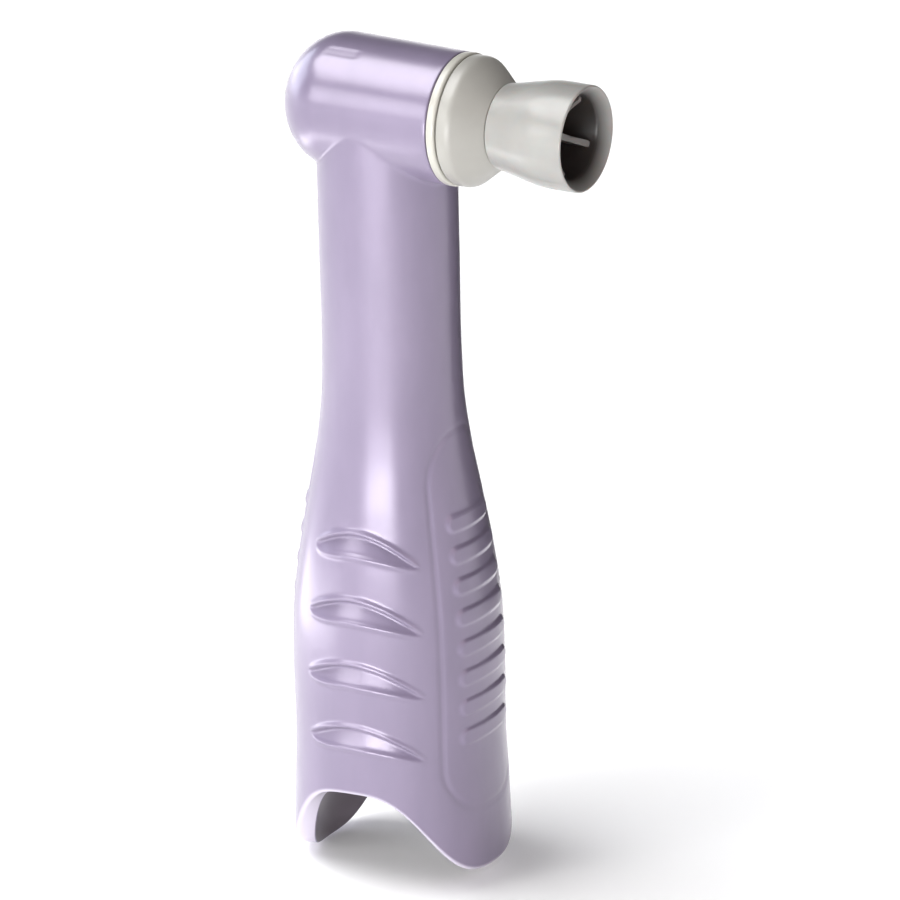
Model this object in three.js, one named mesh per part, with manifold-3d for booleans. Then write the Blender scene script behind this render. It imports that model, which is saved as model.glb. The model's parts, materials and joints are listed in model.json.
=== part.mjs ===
// Right-angle prophylaxis handpiece head (prophy angle), in millimetres, +Z up.
//
// The drive shaft runs up the Z axis. The rotor, which carries the polishing cup, runs along +X at height HEAD_Z.
// The origin is on the drive axis, at the mouth of the socket that takes a low-speed handpiece's nose.
//
// Every turned piece is drawn lying along its own +Y axis. The two nested groups at the end of the file stand the
// shaft pieces up along +Z and lay the rotor pieces down along +X.

import * as THREE from "three";
import { mergeVertices } from "three/addons/utils/BufferGeometryUtils.js";
import Module from "manifold-3d";

const wasm = await Module();
wasm.setup();

// ---------------------------------------------------------------------------------------------------------------
// Driving dimensions
// ---------------------------------------------------------------------------------------------------------------

const HEAD_Z = 45; // height of the rotor axis above the socket mouth
const SIDES = 36; // facets round a large turned piece
const FINE_SIDES = 24; // facets round a small turned piece
const RUNNING = 0.05; // radial clearance of a shaft in its bush
const SNUG = 0.04; // radial clearance of pieces pressed together
const FACE_GAP = 0.05; // gap between the faces of neighbouring pieces in a stack

// Head barrel, lying along X
const BARREL_R = 4.58; // where the dome begins
const BARREL_MOUTH_R = 4.42;
const BARREL_FRONT = 5.62; // X of the mouth that the head cap closes
const DOME_START = -2.9;
const DOME_LENGTH = 4.0;
const CAVITY_R = 3.35; // gear chamber
const CAVITY_BACK = -3.5;
const CAP_BORE_R = 3.55; // wider bore that takes the head cap
const CAP_BORE_BACK = 4.2;
const REAR_POCKET_R = 1.9; // pocket in the dome for the rear bush
const REAR_POCKET_BACK = -5.7;

// Neck and grip, standing along Z. Each station is [height, half-width along X, half-width along Y, squareness].
// A squareness of 2 is an ellipse, and more is squarer.
const STATIONS = [
  [HEAD_Z, 4.75, 4.42, 2.0],
  [35, 4.75, 4.44, 2.0],
  [28, 4.74, 4.5, 2.0],
  [25, 4.84, 4.66, 2.0],
  [22, 5.14, 5.0, 2.05],
  [18, 5.8, 5.7, 2.1],
  [14, 6.44, 6.37, 2.15],
  [10, 6.88, 6.82, 2.2],
  [6, 7.02, 6.96, 2.2],
  [1, 7.0, 6.95, 2.2],
  [-3, 7.14, 7.08, 2.2],
  [-9, 7.34, 7.28, 2.2],
];

// The skirt's lower edge is a wave: two arches over the grip faces (Y) and two lobes (X).
const WAVE_MIDDLE = -5.15;
const WAVE_HEIGHT = 3.35;
const WAVE_LEAN = 0.45; // the lobe behind the head hangs this much lower than the middle, the other as much higher
const WAVE_TOP = 3; // above this height the body's rings are level

// Inside the skirt
const SKIRT_PROFILE = [
  [6.1, -11],
  [5.85, -2],
  [5.75, 4],
  [5.2, 11],
  [4.5, 12.2],
];
const SLEEVE_BORE_R = 4.15; // bore that holds the nose sleeve
const SLEEVE_SHOULDER = 22.9; // where that bore steps down to the shaft bore
const SHAFT_BORE_R = 3.3;
const BUSH_STEP = 40.05; // the upper bush stops here
const GEAR_BORE_R = 3.12;
const GEAR_BORE_TOP = 43.65;
const RIB_COUNT = 6;
const RIB_WIDTH = 0.9;
const RIB_BOTTOM = 0.8;
const RIB_INNER_R = 4.3;
const RIB_TURN = Math.PI / 6;

// Bevel gears: equal gears at a right angle
const TEETH = 12;
const PITCH_R = 2.7; // at the large end
const FACE_WIDTH = 1.25;
const PRESSURE_ANGLE = (20 * Math.PI) / 180;
const BACKLASH = 0.07; // taken off each tooth's thickness at the large end
const ADDENDUM_SHARE = 0.92; // of the module
const DEDENDUM_SHARE = 1.2;

// Drive shaft stack, heights along Z
const SHAFT_R = 1.18;
const SHAFT_BOTTOM = 5.9;
const SHAFT_TOP_R = 1.0; // the end that carries the gear
const DRIVE_GEAR_BACK = 40.6;
const UPPER_BUSH = [34.5, 40.0];
const SHAFT_SEAL = [33.1, 34.4];
const LOWER_BUSH = [22.0, 27.5];
const LOWER_FLANGE_TOP = 22.85;
const CLIP = [21.2, 21.6];
const CLIP_GROOVE_R = 0.86;
const CLIP_R = 2.0;
const CLIP_OPENING = 1.5;
const DOG = [4.5, 9.2];
const DOG_R = 1.75;
const DOG_SLOT = 1.1;
const DOG_SLOT_DEPTH = 2.2;

// Nose sleeve
const SLEEVE_R = 4.1;
const NOSE_BORE_R = 3.15; // takes a nose about 6.2 mm across
const SLEEVE_TOP = 21.9;
const SLOT_COUNT = 4;
const SLOT_WIDTH = 0.9;
const SLOT_TOP = 8.5;
const GRIP_RING_Z = 11;
const GRIP_RING_R = 3.28;
const GRIP_RING_SECTION = 0.3;

// Rotor stack, distances along X
const SPINDLE_R = 1.0;
const PIVOT_R = 0.8; // the thin end, which passes over the drive gear
const PIVOT_BACK = -5.5;
const COLLAR_R = 1.4;
const COLLAR = [-3.05, -2.5];
const REAR_BUSH = [-5.6, -3.6];
const REAR_BUSH_R = 1.85;
const DRIVEN_GEAR_BACK = 3.75;
const FRONT_BUSH = [4.3, 5.95];
const FRONT_BUSH_R = 2.15;
const CAP_FLANGE_R = 4.42;
const CAP_FRONT = 6.27;
const CAP_SEAL_X = 4.95;
const CAP_SEAL_R = 3.24;
const CAP_SEAL_SECTION = 0.25;
const SEAL_RECESS_R = 2.95;
const HUB_BACK = 6.35;
const HUB_FRONT = 9.12;
const HUB_R = 4.33;
const HUB_STEP = 7.28; // where the hub's rim ends and its cone begins
const HUB_WAIST_R = 2.78;
const STUD_R = 0.75; // the spindle's front end, which carries the button
const BUTTON = [9.18, 10.85];
const BUTTON_STEM_R = 1.15;
const BUTTON_HEAD_R = 1.65;
const BUTTON_HEAD_BACK = 9.9;

// Polishing cup
const CUP_BACK = 9.18;
const CUP_RIM = 15.18;
const CUP_WAIST_R = 2.84;
const CUP_BULGE_R = 3.5;
const CUP_RIM_R = 3.52;
const BOWL_FLOOR = 11.45;
const BOWL_FLOOR_R = 2.1;
const BOWL_LIP_R = 2.75;
const BOWL_LIP_X = 14.35;
const WEB_COUNT = 4;
const WEB_TURN = (-27 * Math.PI) / 180; // the first web lies this far from +Y towards +Z
const WEB_WIDTH = 0.4;
const WEB_MIDDLE = 12.85; // where the webs meet on the axis

// ---------------------------------------------------------------------------------------------------------------
// Materials
// ---------------------------------------------------------------------------------------------------------------

const plastic = (color, roughness) => new THREE.MeshStandardMaterial({ color, roughness, metalness: 0 });
const steel = (color, roughness) => new THREE.MeshStandardMaterial({ color, roughness, metalness: 1 });

const lilac = plastic(0xbcb0cf, 0.3);
const ivory = plastic(0xe3dfd2, 0.4);
const hubGrey = plastic(0xb5ada2, 0.45);
const cupRubber = plastic(0xcac8c1, 0.5);
const acetal = plastic(0xf0efe8, 0.35);
const gearNylon = plastic(0xece6d6, 0.4);
const bronze = steel(0xb08a55, 0.4);
const stainless = steel(0xb9bcc0, 0.25);
const sealRubber = plastic(0x2e2c2f, 0.6);

// ---------------------------------------------------------------------------------------------------------------
// Geometry helpers
// ---------------------------------------------------------------------------------------------------------------

// A closed three.js geometry as a manifold-3d solid.
function toSolid(geometry) {
  const bare = geometry.clone();
  bare.deleteAttribute("normal");
  bare.deleteAttribute("uv");
  const merged = mergeVertices(bare, 1e-5);
  return new wasm.Manifold(
    new wasm.Mesh({
      numProp: 3,
      vertProperties: new Float32Array(merged.attributes.position.array),
      triVerts: new Uint32Array(merged.index.array),
    }),
  );
}

// A manifold-3d solid as a flat-shaded three.js geometry.
function toGeometry(solid) {
  const mesh = solid.getMesh();
  const positions = new Float32Array(mesh.numVert * 3);
  for (let i = 0; i < mesh.numVert; i++) {
    positions.set(mesh.vertProperties.subarray(i * mesh.numProp, i * mesh.numProp + 3), i * 3);
  }
  const geometry = new THREE.BufferGeometry();
  geometry.setAttribute("position", new THREE.BufferAttribute(positions, 3));
  geometry.setIndex(new THREE.BufferAttribute(mesh.triVerts, 1));
  geometry.computeVertexNormals();
  return geometry;
}

// Twice the signed area of an outline of [radius, height] points.
function signedArea(outline) {
  return outline.reduce((sum, [r, h], i) => {
    const [nextR, nextH] = outline[(i + 1) % outline.length];
    return sum + r * nextH - nextR * h;
  }, 0);
}

// A solid of revolution about +Y from an outline of [radius, height] points, which touches the axis at both ends or
// encloses a ring.
function turned(outline, sides = SIDES) {
  const points = signedArea(outline) > 0 ? [...outline] : [...outline].reverse();
  const touchesAxis = points.some(([r]) => r === 0);
  if (touchesAxis) {
    while (!(points[0][0] === 0 && points[points.length - 1][0] === 0)) points.push(points.shift());
  } else {
    points.push(points[0]);
  }
  return new THREE.LatheGeometry(
    points.map(([r, h]) => new THREE.Vector2(r, h)),
    sides,
  );
}

// A plain ring or tube.
const tube = (innerR, outerR, [from, to], sides = FINE_SIDES) =>
  turned(
    [
      [innerR, from],
      [outerR, from],
      [outerR, to],
      [innerR, to],
    ],
    sides,
  );

// A ring of round section, such as an O-ring.
function roundRing(centreR, section, height, sides = FINE_SIDES, sectionSides = 8) {
  const outline = [];
  for (let i = 0; i < sectionSides; i++) {
    const a = (2 * Math.PI * i) / sectionSides;
    outline.push([centreR + section * Math.cos(a), height + section * Math.sin(a)]);
  }
  return turned(outline, sides);
}

// A box from its lowest and highest corners.
function block(low, high) {
  const size = high.map((v, i) => v - low[i]);
  const middle = high.map((v, i) => (v + low[i]) / 2);
  return new THREE.BoxGeometry(...size).translate(...middle);
}

// A surface through a list of loops that all have the same number of points. A ring of loops joins its last loop to
// its first; otherwise both ends are closed with a fan.
function skin(loops, isRing) {
  const count = loops[0].length;
  const positions = [];
  loops.forEach((loop) => loop.forEach((p) => positions.push(p.x, p.y, p.z)));
  const index = [];
  const strips = isRing ? loops.length : loops.length - 1;
  for (let i = 0; i < strips; i++) {
    const a = i * count;
    const b = ((i + 1) % loops.length) * count;
    for (let j = 0; j < count; j++) {
      const k = (j + 1) % count;
      index.push(a + j, a + k, b + k, a + j, b + k, b + j);
    }
  }
  if (!isRing) {
    [loops[0], loops[loops.length - 1]].forEach((loop, end) => {
      const centre = new THREE.Vector3();
      loop.forEach((p) => centre.addScaledVector(p, 1 / count));
      const hub = positions.length / 3;
      positions.push(centre.x, centre.y, centre.z);
      const start = end === 0 ? 0 : (loops.length - 1) * count;
      for (let j = 0; j < count; j++) {
        const k = (j + 1) % count;
        if (end === 0) index.push(hub, start + k, start + j);
        else index.push(hub, start + j, start + k);
      }
    });
  }
  const geometry = new THREE.BufferGeometry();
  geometry.setAttribute("position", new THREE.Float32BufferAttribute(positions, 3));
  geometry.setIndex(index);
  return geometry;
}

// Points along an arc of an ellipse in [radius, height], from angle a to angle b.
function arc(centreR, centreH, radiusR, radiusH, a, b, steps) {
  return Array.from({ length: steps + 1 }, (_, i) => {
    const t = a + ((b - a) * i) / steps;
    return [centreR + radiusR * Math.cos(t), centreH + radiusH * Math.sin(t)];
  });
}

const alongX = (geometry) => geometry.rotateZ(-Math.PI / 2);
const alongZ = (geometry) => geometry.rotateX(Math.PI / 2);

// ---------------------------------------------------------------------------------------------------------------
// Body shell
// ---------------------------------------------------------------------------------------------------------------

const stationCurve = (column) =>
  new THREE.CatmullRomCurve3(STATIONS.map((s) => new THREE.Vector3(s[column], s[0], 0)), false, "centripetal");
const CURVES = [1, 2, 3].map(stationCurve);

// The value of one station column at a height, by bisection on its curve.
function sizeAt(column, z) {
  const curve = CURVES[column];
  let low = 0;
  let high = 1;
  for (let i = 0; i < 30; i++) {
    const middle = (low + high) / 2;
    if (curve.getPoint(middle).y > z) low = middle;
    else high = middle;
  }
  return curve.getPoint(low).x;
}

// A point on the outside of the neck and grip.
function skinPoint(angle, z, share = 1) {
  const [a, b, n] = [0, 1, 2].map((column) => sizeAt(column, z));
  const c = Math.abs(Math.cos(angle) / a) ** n + Math.abs(Math.sin(angle) / b) ** n;
  const r = share * c ** (-1 / n);
  return new THREE.Vector3(r * Math.cos(angle), r * Math.sin(angle), z);
}

// Height of the skirt's lower edge. It is flatter at the arches and lobes than a plain cosine.
function waveHeight(angle) {
  const c = Math.cos(2 * angle);
  return WAVE_MIDDLE - WAVE_HEIGHT * (1.4 * c - 0.4 * c ** 3) + WAVE_LEAN * Math.cos(angle);
}

function outerBody() {
  const angles = Array.from({ length: SIDES }, (_, i) => (2 * Math.PI * i) / SIDES);
  const level = [HEAD_Z, 36, 28, 24.5, 22, 19, 16, 12, 7, WAVE_TOP];
  const loops = level.map((z) => angles.map((angle) => skinPoint(angle, z)));
  [0.35, 0.7, 1].forEach((share) => {
    loops.push(angles.map((angle) => skinPoint(angle, WAVE_TOP + share * (waveHeight(angle) - WAVE_TOP))));
  });
  loops.push(angles.map((angle) => skinPoint(angle, waveHeight(angle), 0.7)));
  loops.reverse();
  const grip = toSolid(skin(loops, false));
  const dome = arc(0, DOME_START, BARREL_R, DOME_LENGTH, -Math.PI / 2, 0, 8);
  dome[0][0] = 0;
  const barrel = turned([...dome, [BARREL_MOUTH_R, BARREL_FRONT], [0, BARREL_FRONT]]);
  return grip.add(toSolid(alongX(barrel).translate(0, 0, HEAD_Z)));
}

// The gear chamber, with the rear bush's pocket and the head cap's bore.
function headCavity() {
  const outline = [
    [0, REAR_POCKET_BACK],
    [REAR_POCKET_R, REAR_POCKET_BACK],
    [REAR_POCKET_R, CAVITY_BACK],
    [CAVITY_R, CAVITY_BACK],
    [CAVITY_R, CAP_BORE_BACK],
    [CAP_BORE_R, CAP_BORE_BACK],
    [CAP_BORE_R, BARREL_FRONT + 1],
    [0, BARREL_FRONT + 1],
  ];
  return toSolid(alongX(turned(outline)).translate(0, 0, HEAD_Z));
}

// The bores that hold the nose sleeve, the shaft bushes and the drive gear.
function shaftBore() {
  const skirtTop = SKIRT_PROFILE[SKIRT_PROFILE.length - 1][1];
  const outline = [
    [0, skirtTop - 1],
    [SLEEVE_BORE_R, skirtTop - 1],
    [SLEEVE_BORE_R, SLEEVE_SHOULDER],
    [SHAFT_BORE_R, SLEEVE_SHOULDER],
    [SHAFT_BORE_R, BUSH_STEP],
    [GEAR_BORE_R, BUSH_STEP],
    [GEAR_BORE_R, GEAR_BORE_TOP],
    [0, GEAR_BORE_TOP],
  ];
  return toSolid(alongZ(turned(outline)));
}

function skirtCavity() {
  const bottom = SKIRT_PROFILE[0][1];
  const top = SKIRT_PROFILE[SKIRT_PROFILE.length - 1][1];
  return toSolid(alongZ(turned([[0, bottom], ...SKIRT_PROFILE, [0, top]])));
}

// Ribs inside the skirt that keep the nose sleeve central.
function skirtRibs() {
  const top = SKIRT_PROFILE[SKIRT_PROFILE.length - 1][1] + 0.5;
  const ribs = Array.from({ length: RIB_COUNT }, (_, i) => {
    const rib = block([RIB_INNER_R, -RIB_WIDTH / 2, RIB_BOTTOM], [6.2, RIB_WIDTH / 2, top]);
    return toSolid(rib.rotateZ(RIB_TURN + (2 * Math.PI * i) / RIB_COUNT));
  });
  return ribs.reduce((all, rib) => all.add(rib));
}

function bodyShell() {
  const hollow = outerBody().subtract(skirtCavity()).subtract(headCavity());
  return toGeometry(hollow.add(skirtRibs()).subtract(shaftBore()));
}

// ---------------------------------------------------------------------------------------------------------------
// Gears
// ---------------------------------------------------------------------------------------------------------------

// A straight bevel gear about +Y with its cone's point at the origin and its teeth facing that point. The teeth are
// involutes of the equivalent spur gear, laid on the back cone. The hub reaches from hubR and hubFront to backFace.
function bevelGear({ boreR, hubR, hubFront, backFace, backR }) {
  const cone = Math.PI / 4;
  const module = (2 * PITCH_R) / TEETH;
  const coneLength = PITCH_R / Math.sin(cone);
  const spurR = PITCH_R / Math.cos(cone);
  const baseR = spurR * Math.cos(PRESSURE_ANGLE);
  const tipR = spurR + ADDENDUM_SHARE * module;
  const rootR = spurR - DEDENDUM_SHARE * module;
  const involute = (a) => Math.tan(a) - a;
  const pitchHalf = (Math.PI * module - 2 * BACKLASH) / (4 * spurR);
  const halfAngle = (r) => {
    const a = Math.acos(Math.min(1, baseR / Math.max(r, baseR)));
    return (pitchHalf + involute(PRESSURE_ANGLE) - involute(a)) / Math.cos(cone);
  };
  const flank = [rootR, (rootR + spurR) / 2, spurR, tipR];
  const outline = []; // [distance outward on the back cone, angle]
  for (let tooth = 0; tooth < TEETH; tooth++) {
    const middle = (2 * Math.PI * tooth) / TEETH;
    flank.forEach((r) => outline.push([r - spurR, middle - halfAngle(r)]));
    [...flank].reverse().forEach((r) => outline.push([r - spurR, middle + halfAngle(r)]));
  }
  const at = (radius, height, angle) => new THREE.Vector3(radius * Math.cos(angle), height, -radius * Math.sin(angle));
  const toothLoop = (scale) =>
    outline.map(([out, angle]) =>
      at(
        scale * (PITCH_R + out * Math.cos(cone)),
        scale * (coneLength * Math.cos(cone) - out * Math.sin(cone)),
        angle,
      ),
    );
  const circleLoop = (radius, height) => outline.map(([, angle]) => at(radius, height, angle));
  const small = (coneLength - FACE_WIDTH) / coneLength;
  const loops = [
    circleLoop(boreR, hubFront),
    circleLoop(hubR, hubFront),
    toothLoop(small),
    toothLoop(1),
    circleLoop(backR, backFace),
    circleLoop(boreR, backFace),
  ];
  return skin(loops, true);
}

// ---------------------------------------------------------------------------------------------------------------
// Drive shaft pieces, drawn along +Y for the shaft group
// ---------------------------------------------------------------------------------------------------------------

function driveShaft() {
  const top = HEAD_Z - 1.75;
  return turned(
    [
      [0, SHAFT_BOTTOM],
      [SHAFT_R - 0.2, SHAFT_BOTTOM],
      [SHAFT_R, SHAFT_BOTTOM + 0.3],
      [SHAFT_R, CLIP[0] - FACE_GAP],
      [CLIP_GROOVE_R, CLIP[0] - FACE_GAP],
      [CLIP_GROOVE_R, CLIP[1] + FACE_GAP],
      [SHAFT_R, CLIP[1] + FACE_GAP],
      [SHAFT_R, DRIVE_GEAR_BACK - FACE_GAP],
      [SHAFT_TOP_R, DRIVE_GEAR_BACK - FACE_GAP],
      [SHAFT_TOP_R, top - 0.2],
      [SHAFT_TOP_R - 0.2, top],
      [0, top],
    ],
    FINE_SIDES,
  );
}

// The forked ferrule on the shaft's lower end, which the handpiece's chuck drives.
function driveDog() {
  const ferrule = toSolid(
    turned(
      [
        [SHAFT_R + SNUG, DOG[0] + 1.2],
        [0.7, DOG[0] + 0.5],
        [0.7, DOG[0]],
        [DOG_R - 0.25, DOG[0]],
        [DOG_R, DOG[0] + 0.4],
        [DOG_R, DOG[1] - 0.5],
        [SHAFT_R + 0.3, DOG[1]],
        [SHAFT_R + SNUG, DOG[1]],
      ],
      FINE_SIDES,
    ),
  );
  const slot = toSolid(
    block([-DOG_R - 1, DOG[0] - 1, -DOG_SLOT / 2], [DOG_R + 1, DOG[0] + DOG_SLOT_DEPTH, DOG_SLOT / 2]),
  );
  return toGeometry(ferrule.subtract(slot));
}

function shaftClip() {
  const ring = toSolid(tube(CLIP_GROOVE_R + SNUG, CLIP_R, CLIP));
  const opening = toSolid(block([0, CLIP[0] - 1, -CLIP_OPENING / 2], [CLIP_R + 1, CLIP[1] + 1, CLIP_OPENING / 2]));
  return toGeometry(ring.subtract(opening));
}

const driveGear = () =>
  bevelGear({
    boreR: SHAFT_TOP_R + SNUG,
    hubR: 1.55,
    hubFront: 2.0,
    backFace: HEAD_Z - DRIVE_GEAR_BACK,
    backR: 2.35,
  });

// A flanged bush: the flange, if any, is at its lower end.
function shaftBush([from, to], flangeTop) {
  const boreR = SHAFT_R + RUNNING;
  const outerR = SHAFT_BORE_R - SNUG;
  const flange = flangeTop
    ? [
        [SLEEVE_R, from],
        [SLEEVE_R, flangeTop],
        [outerR, flangeTop],
      ]
    : [[outerR, from]];
  return turned([[boreR, from], ...flange, [outerR, to], [boreR, to]]);
}

// A lip seal: a ring with a groove in its lower face, so that its inner wall is a lip.
function shaftSeal() {
  const outerR = SHAFT_BORE_R - SNUG;
  const lipR = SHAFT_R + RUNNING;
  const grooveTop = SHAFT_SEAL[1] - 0.4;
  return turned([
    [lipR, SHAFT_SEAL[0] + 0.2],
    [lipR + 0.35, SHAFT_SEAL[0]],
    [lipR + 0.6, grooveTop],
    [outerR - 0.6, grooveTop],
    [outerR - 0.6, SHAFT_SEAL[0]],
    [outerR, SHAFT_SEAL[0]],
    [outerR, SHAFT_SEAL[1]],
    [lipR, SHAFT_SEAL[1]],
  ]);
}

// The liner that grips the handpiece's nose: a tube with spring fingers at its mouth and a groove for the grip ring.
function noseSleeve() {
  const grooveR = GRIP_RING_R + GRIP_RING_SECTION + SNUG;
  const grooveHalf = GRIP_RING_SECTION + SNUG;
  const liner = toSolid(
    turned([
      [NOSE_BORE_R, 0],
      [SLEEVE_R, 0],
      [SLEEVE_R, SLEEVE_TOP],
      [NOSE_BORE_R, SLEEVE_TOP],
      [NOSE_BORE_R, GRIP_RING_Z + grooveHalf],
      [grooveR, GRIP_RING_Z + grooveHalf],
      [grooveR, GRIP_RING_Z - grooveHalf],
      [NOSE_BORE_R, GRIP_RING_Z - grooveHalf],
    ]),
  );
  const slots = Array.from({ length: SLOT_COUNT }, (_, i) => {
    const slot = block([0, -1, -SLOT_WIDTH / 2], [SLEEVE_R + 1, SLOT_TOP, SLOT_WIDTH / 2]);
    return toSolid(slot.rotateY(Math.PI / SLOT_COUNT + (2 * Math.PI * i) / SLOT_COUNT));
  });
  return toGeometry(slots.reduce((all, slot) => all.subtract(slot), liner));
}

// ---------------------------------------------------------------------------------------------------------------
// Rotor and head pieces, drawn along +Y for the head group
// ---------------------------------------------------------------------------------------------------------------

function rotorSpindle() {
  const seatStart = 1.6;
  const studStart = HUB_FRONT - 0.3;
  const studEnd = BUTTON[1] - 0.45;
  return turned(
    [
      [0, PIVOT_BACK],
      [PIVOT_R - 0.15, PIVOT_BACK],
      [PIVOT_R, PIVOT_BACK + 0.2],
      [PIVOT_R, COLLAR[0]],
      [COLLAR_R, COLLAR[0]],
      [COLLAR_R, COLLAR[1]],
      [PIVOT_R, COLLAR[1]],
      [PIVOT_R, seatStart],
      [SPINDLE_R, seatStart],
      [SPINDLE_R, studStart],
      [STUD_R, studStart],
      [STUD_R, studEnd],
      [0, studEnd],
    ],
    FINE_SIDES,
  );
}

const drivenGear = () =>
  bevelGear({
    boreR: SPINDLE_R + SNUG,
    hubR: 1.5,
    hubFront: 1.75,
    backFace: DRIVEN_GEAR_BACK,
    backR: 2.4,
  });

// The cap snaps into the barrel's mouth. It carries the front bush and closes the head with its flange.
function headCap() {
  const spigotR = CAP_BORE_R - SNUG;
  const boreR = FRONT_BUSH_R + SNUG;
  const grooveR = CAP_SEAL_R - CAP_SEAL_SECTION - SNUG;
  const grooveHalf = CAP_SEAL_SECTION + SNUG;
  const back = FRONT_BUSH[0];
  const recessBack = FRONT_BUSH[1];
  return turned([
    [boreR, back],
    [spigotR - 0.25, back],
    [spigotR, back + 0.25],
    [spigotR, CAP_SEAL_X - grooveHalf],
    [grooveR, CAP_SEAL_X - grooveHalf],
    [grooveR, CAP_SEAL_X + grooveHalf],
    [spigotR, CAP_SEAL_X + grooveHalf],
    [spigotR, BARREL_FRONT + FACE_GAP],
    [CAP_FLANGE_R, BARREL_FRONT + FACE_GAP],
    [CAP_FLANGE_R, CAP_FRONT - 0.15],
    [CAP_FLANGE_R - 0.15, CAP_FRONT],
    [SEAL_RECESS_R, CAP_FRONT],
    [SEAL_RECESS_R, recessBack],
    [boreR, recessBack],
  ]);
}

// The hub turns with the spindle: a rim beside the head cap, then a cone down to the cup's waist.
function rotorHub() {
  const boreR = SPINDLE_R + SNUG;
  return turned([
    [boreR, HUB_BACK],
    [HUB_R - 0.12, HUB_BACK],
    [HUB_R, HUB_BACK + 0.12],
    [HUB_R, HUB_STEP - 0.15],
    [HUB_R - 0.2, HUB_STEP],
    [HUB_WAIST_R, HUB_FRONT],
    [boreR, HUB_FRONT],
  ]);
}

// A face seal between the head cap and the hub.
function rotorSeal() {
  const from = FRONT_BUSH[1] + FACE_GAP;
  const to = HUB_BACK - FACE_GAP;
  const innerR = SPINDLE_R + 2 * RUNNING;
  const outerR = SEAL_RECESS_R - SNUG;
  return turned([
    [innerR, from],
    [outerR, from],
    [outerR, to - 0.12],
    [outerR - 0.5, to],
    [innerR + 0.3, to],
    [innerR, to - 0.12],
  ]);
}

// The button that the cup's base snaps over.
function cupButton() {
  const boreEnd = BUTTON[1] - 0.4;
  const boreR = STUD_R + SNUG;
  return turned(
    [
      [0, boreEnd],
      [boreR, boreEnd],
      [boreR, BUTTON[0]],
      [BUTTON_STEM_R, BUTTON[0]],
      [BUTTON_STEM_R, BUTTON_HEAD_BACK],
      [BUTTON_HEAD_R, BUTTON_HEAD_BACK],
      [BUTTON_HEAD_R, BUTTON_HEAD_BACK + 0.35],
      [BUTTON_HEAD_R - 0.35, BUTTON[1]],
      [0, BUTTON[1]],
    ],
    FINE_SIDES,
  );
}

// The soft cup: a waisted outside, a socket that snaps over the button, and a bowl with webs.
function polishingCup() {
  const clear = 0.06;
  const bowl = [
    [0, BOWL_FLOOR],
    [BOWL_FLOOR_R - 0.4, BOWL_FLOOR],
    [BOWL_FLOOR_R, BOWL_FLOOR + 0.35],
    [BOWL_LIP_R, BOWL_LIP_X],
    [CUP_RIM_R - 0.12, CUP_RIM],
  ];
  const outside = [
    [CUP_RIM_R, CUP_RIM - 0.08],
    [CUP_RIM_R + 0.02, 13.6],
    [CUP_BULGE_R, 12.5],
    [3.22, 11.1],
    [3.0, 10.1],
    [CUP_WAIST_R, CUP_BACK],
  ];
  const socket = [
    [BUTTON_STEM_R + clear, CUP_BACK],
    [BUTTON_STEM_R + clear, BUTTON_HEAD_BACK - clear],
    [BUTTON_HEAD_R + clear, BUTTON_HEAD_BACK - clear],
    [BUTTON_HEAD_R + clear, BUTTON_HEAD_BACK + 0.4],
    [BUTTON_HEAD_R - 0.3, BUTTON[1] + clear],
    [0, BUTTON[1] + clear],
  ];
  const cup = toSolid(turned([...bowl, ...outside, ...socket]));
  const webs = Array.from({ length: WEB_COUNT }, (_, i) => {
    const outline = new THREE.Shape();
    outline.moveTo(0.15, BOWL_FLOOR - 0.25);
    outline.lineTo(BOWL_FLOOR_R + 0.25, BOWL_FLOOR - 0.25);
    outline.lineTo(BOWL_LIP_R + 0.2, BOWL_LIP_X - 0.3);
    outline.lineTo(BOWL_LIP_R - 0.35, BOWL_LIP_X - 0.3);
    outline.quadraticCurveTo(1.5, WEB_MIDDLE + 0.2, 0.15, WEB_MIDDLE);
    outline.closePath();
    const web = new THREE.ExtrudeGeometry(outline, { depth: WEB_WIDTH, bevelEnabled: false, curveSegments: 4 });
    web.translate(0, 0, -WEB_WIDTH / 2);
    return toSolid(web.rotateY(Math.PI / 2 + WEB_TURN + (2 * Math.PI * i) / WEB_COUNT));
  });
  return toGeometry(webs.reduce((all, web) => all.add(web), cup));
}

// ---------------------------------------------------------------------------------------------------------------
// Assembly
// ---------------------------------------------------------------------------------------------------------------

function piece(name, geometry, material) {
  const mesh = new THREE.Mesh(geometry, material);
  mesh.name = name;
  return mesh;
}

const halfTooth = Math.PI / TEETH;

// Pieces on the drive axis: local +Y is up.
const shaftGroup = new THREE.Group();
shaftGroup.rotation.x = Math.PI / 2;
const driveGearPiece = piece("drive_gear", driveGear(), gearNylon);
driveGearPiece.position.y = HEAD_Z;
driveGearPiece.rotation.x = Math.PI; // its teeth face up, towards the head
shaftGroup.add(
  driveGearPiece,
  piece("drive_shaft", driveShaft(), stainless),
  piece("drive_dog", driveDog(), gearNylon),
  piece("shaft_clip", shaftClip(), stainless),
  piece("upper_shaft_bush", shaftBush(UPPER_BUSH), bronze),
  piece("lower_shaft_bush", shaftBush(LOWER_BUSH, LOWER_FLANGE_TOP), bronze),
  piece(
    "upper_thrust_washer",
    tube(SHAFT_R + RUNNING, 2.85, [BUSH_STEP + 0.08, DRIVE_GEAR_BACK - FACE_GAP - 0.05]),
    stainless,
  ),
  piece(
    "lower_thrust_washer",
    tube(SHAFT_R + RUNNING, 2.7, [CLIP[1] + FACE_GAP, LOWER_BUSH[0] - FACE_GAP]),
    stainless,
  ),
  piece("shaft_seal", shaftSeal(), sealRubber),
  piece("nose_sleeve", noseSleeve(), acetal),
  piece("grip_ring", roundRing(GRIP_RING_R, GRIP_RING_SECTION, GRIP_RING_Z), sealRubber),
);

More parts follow.
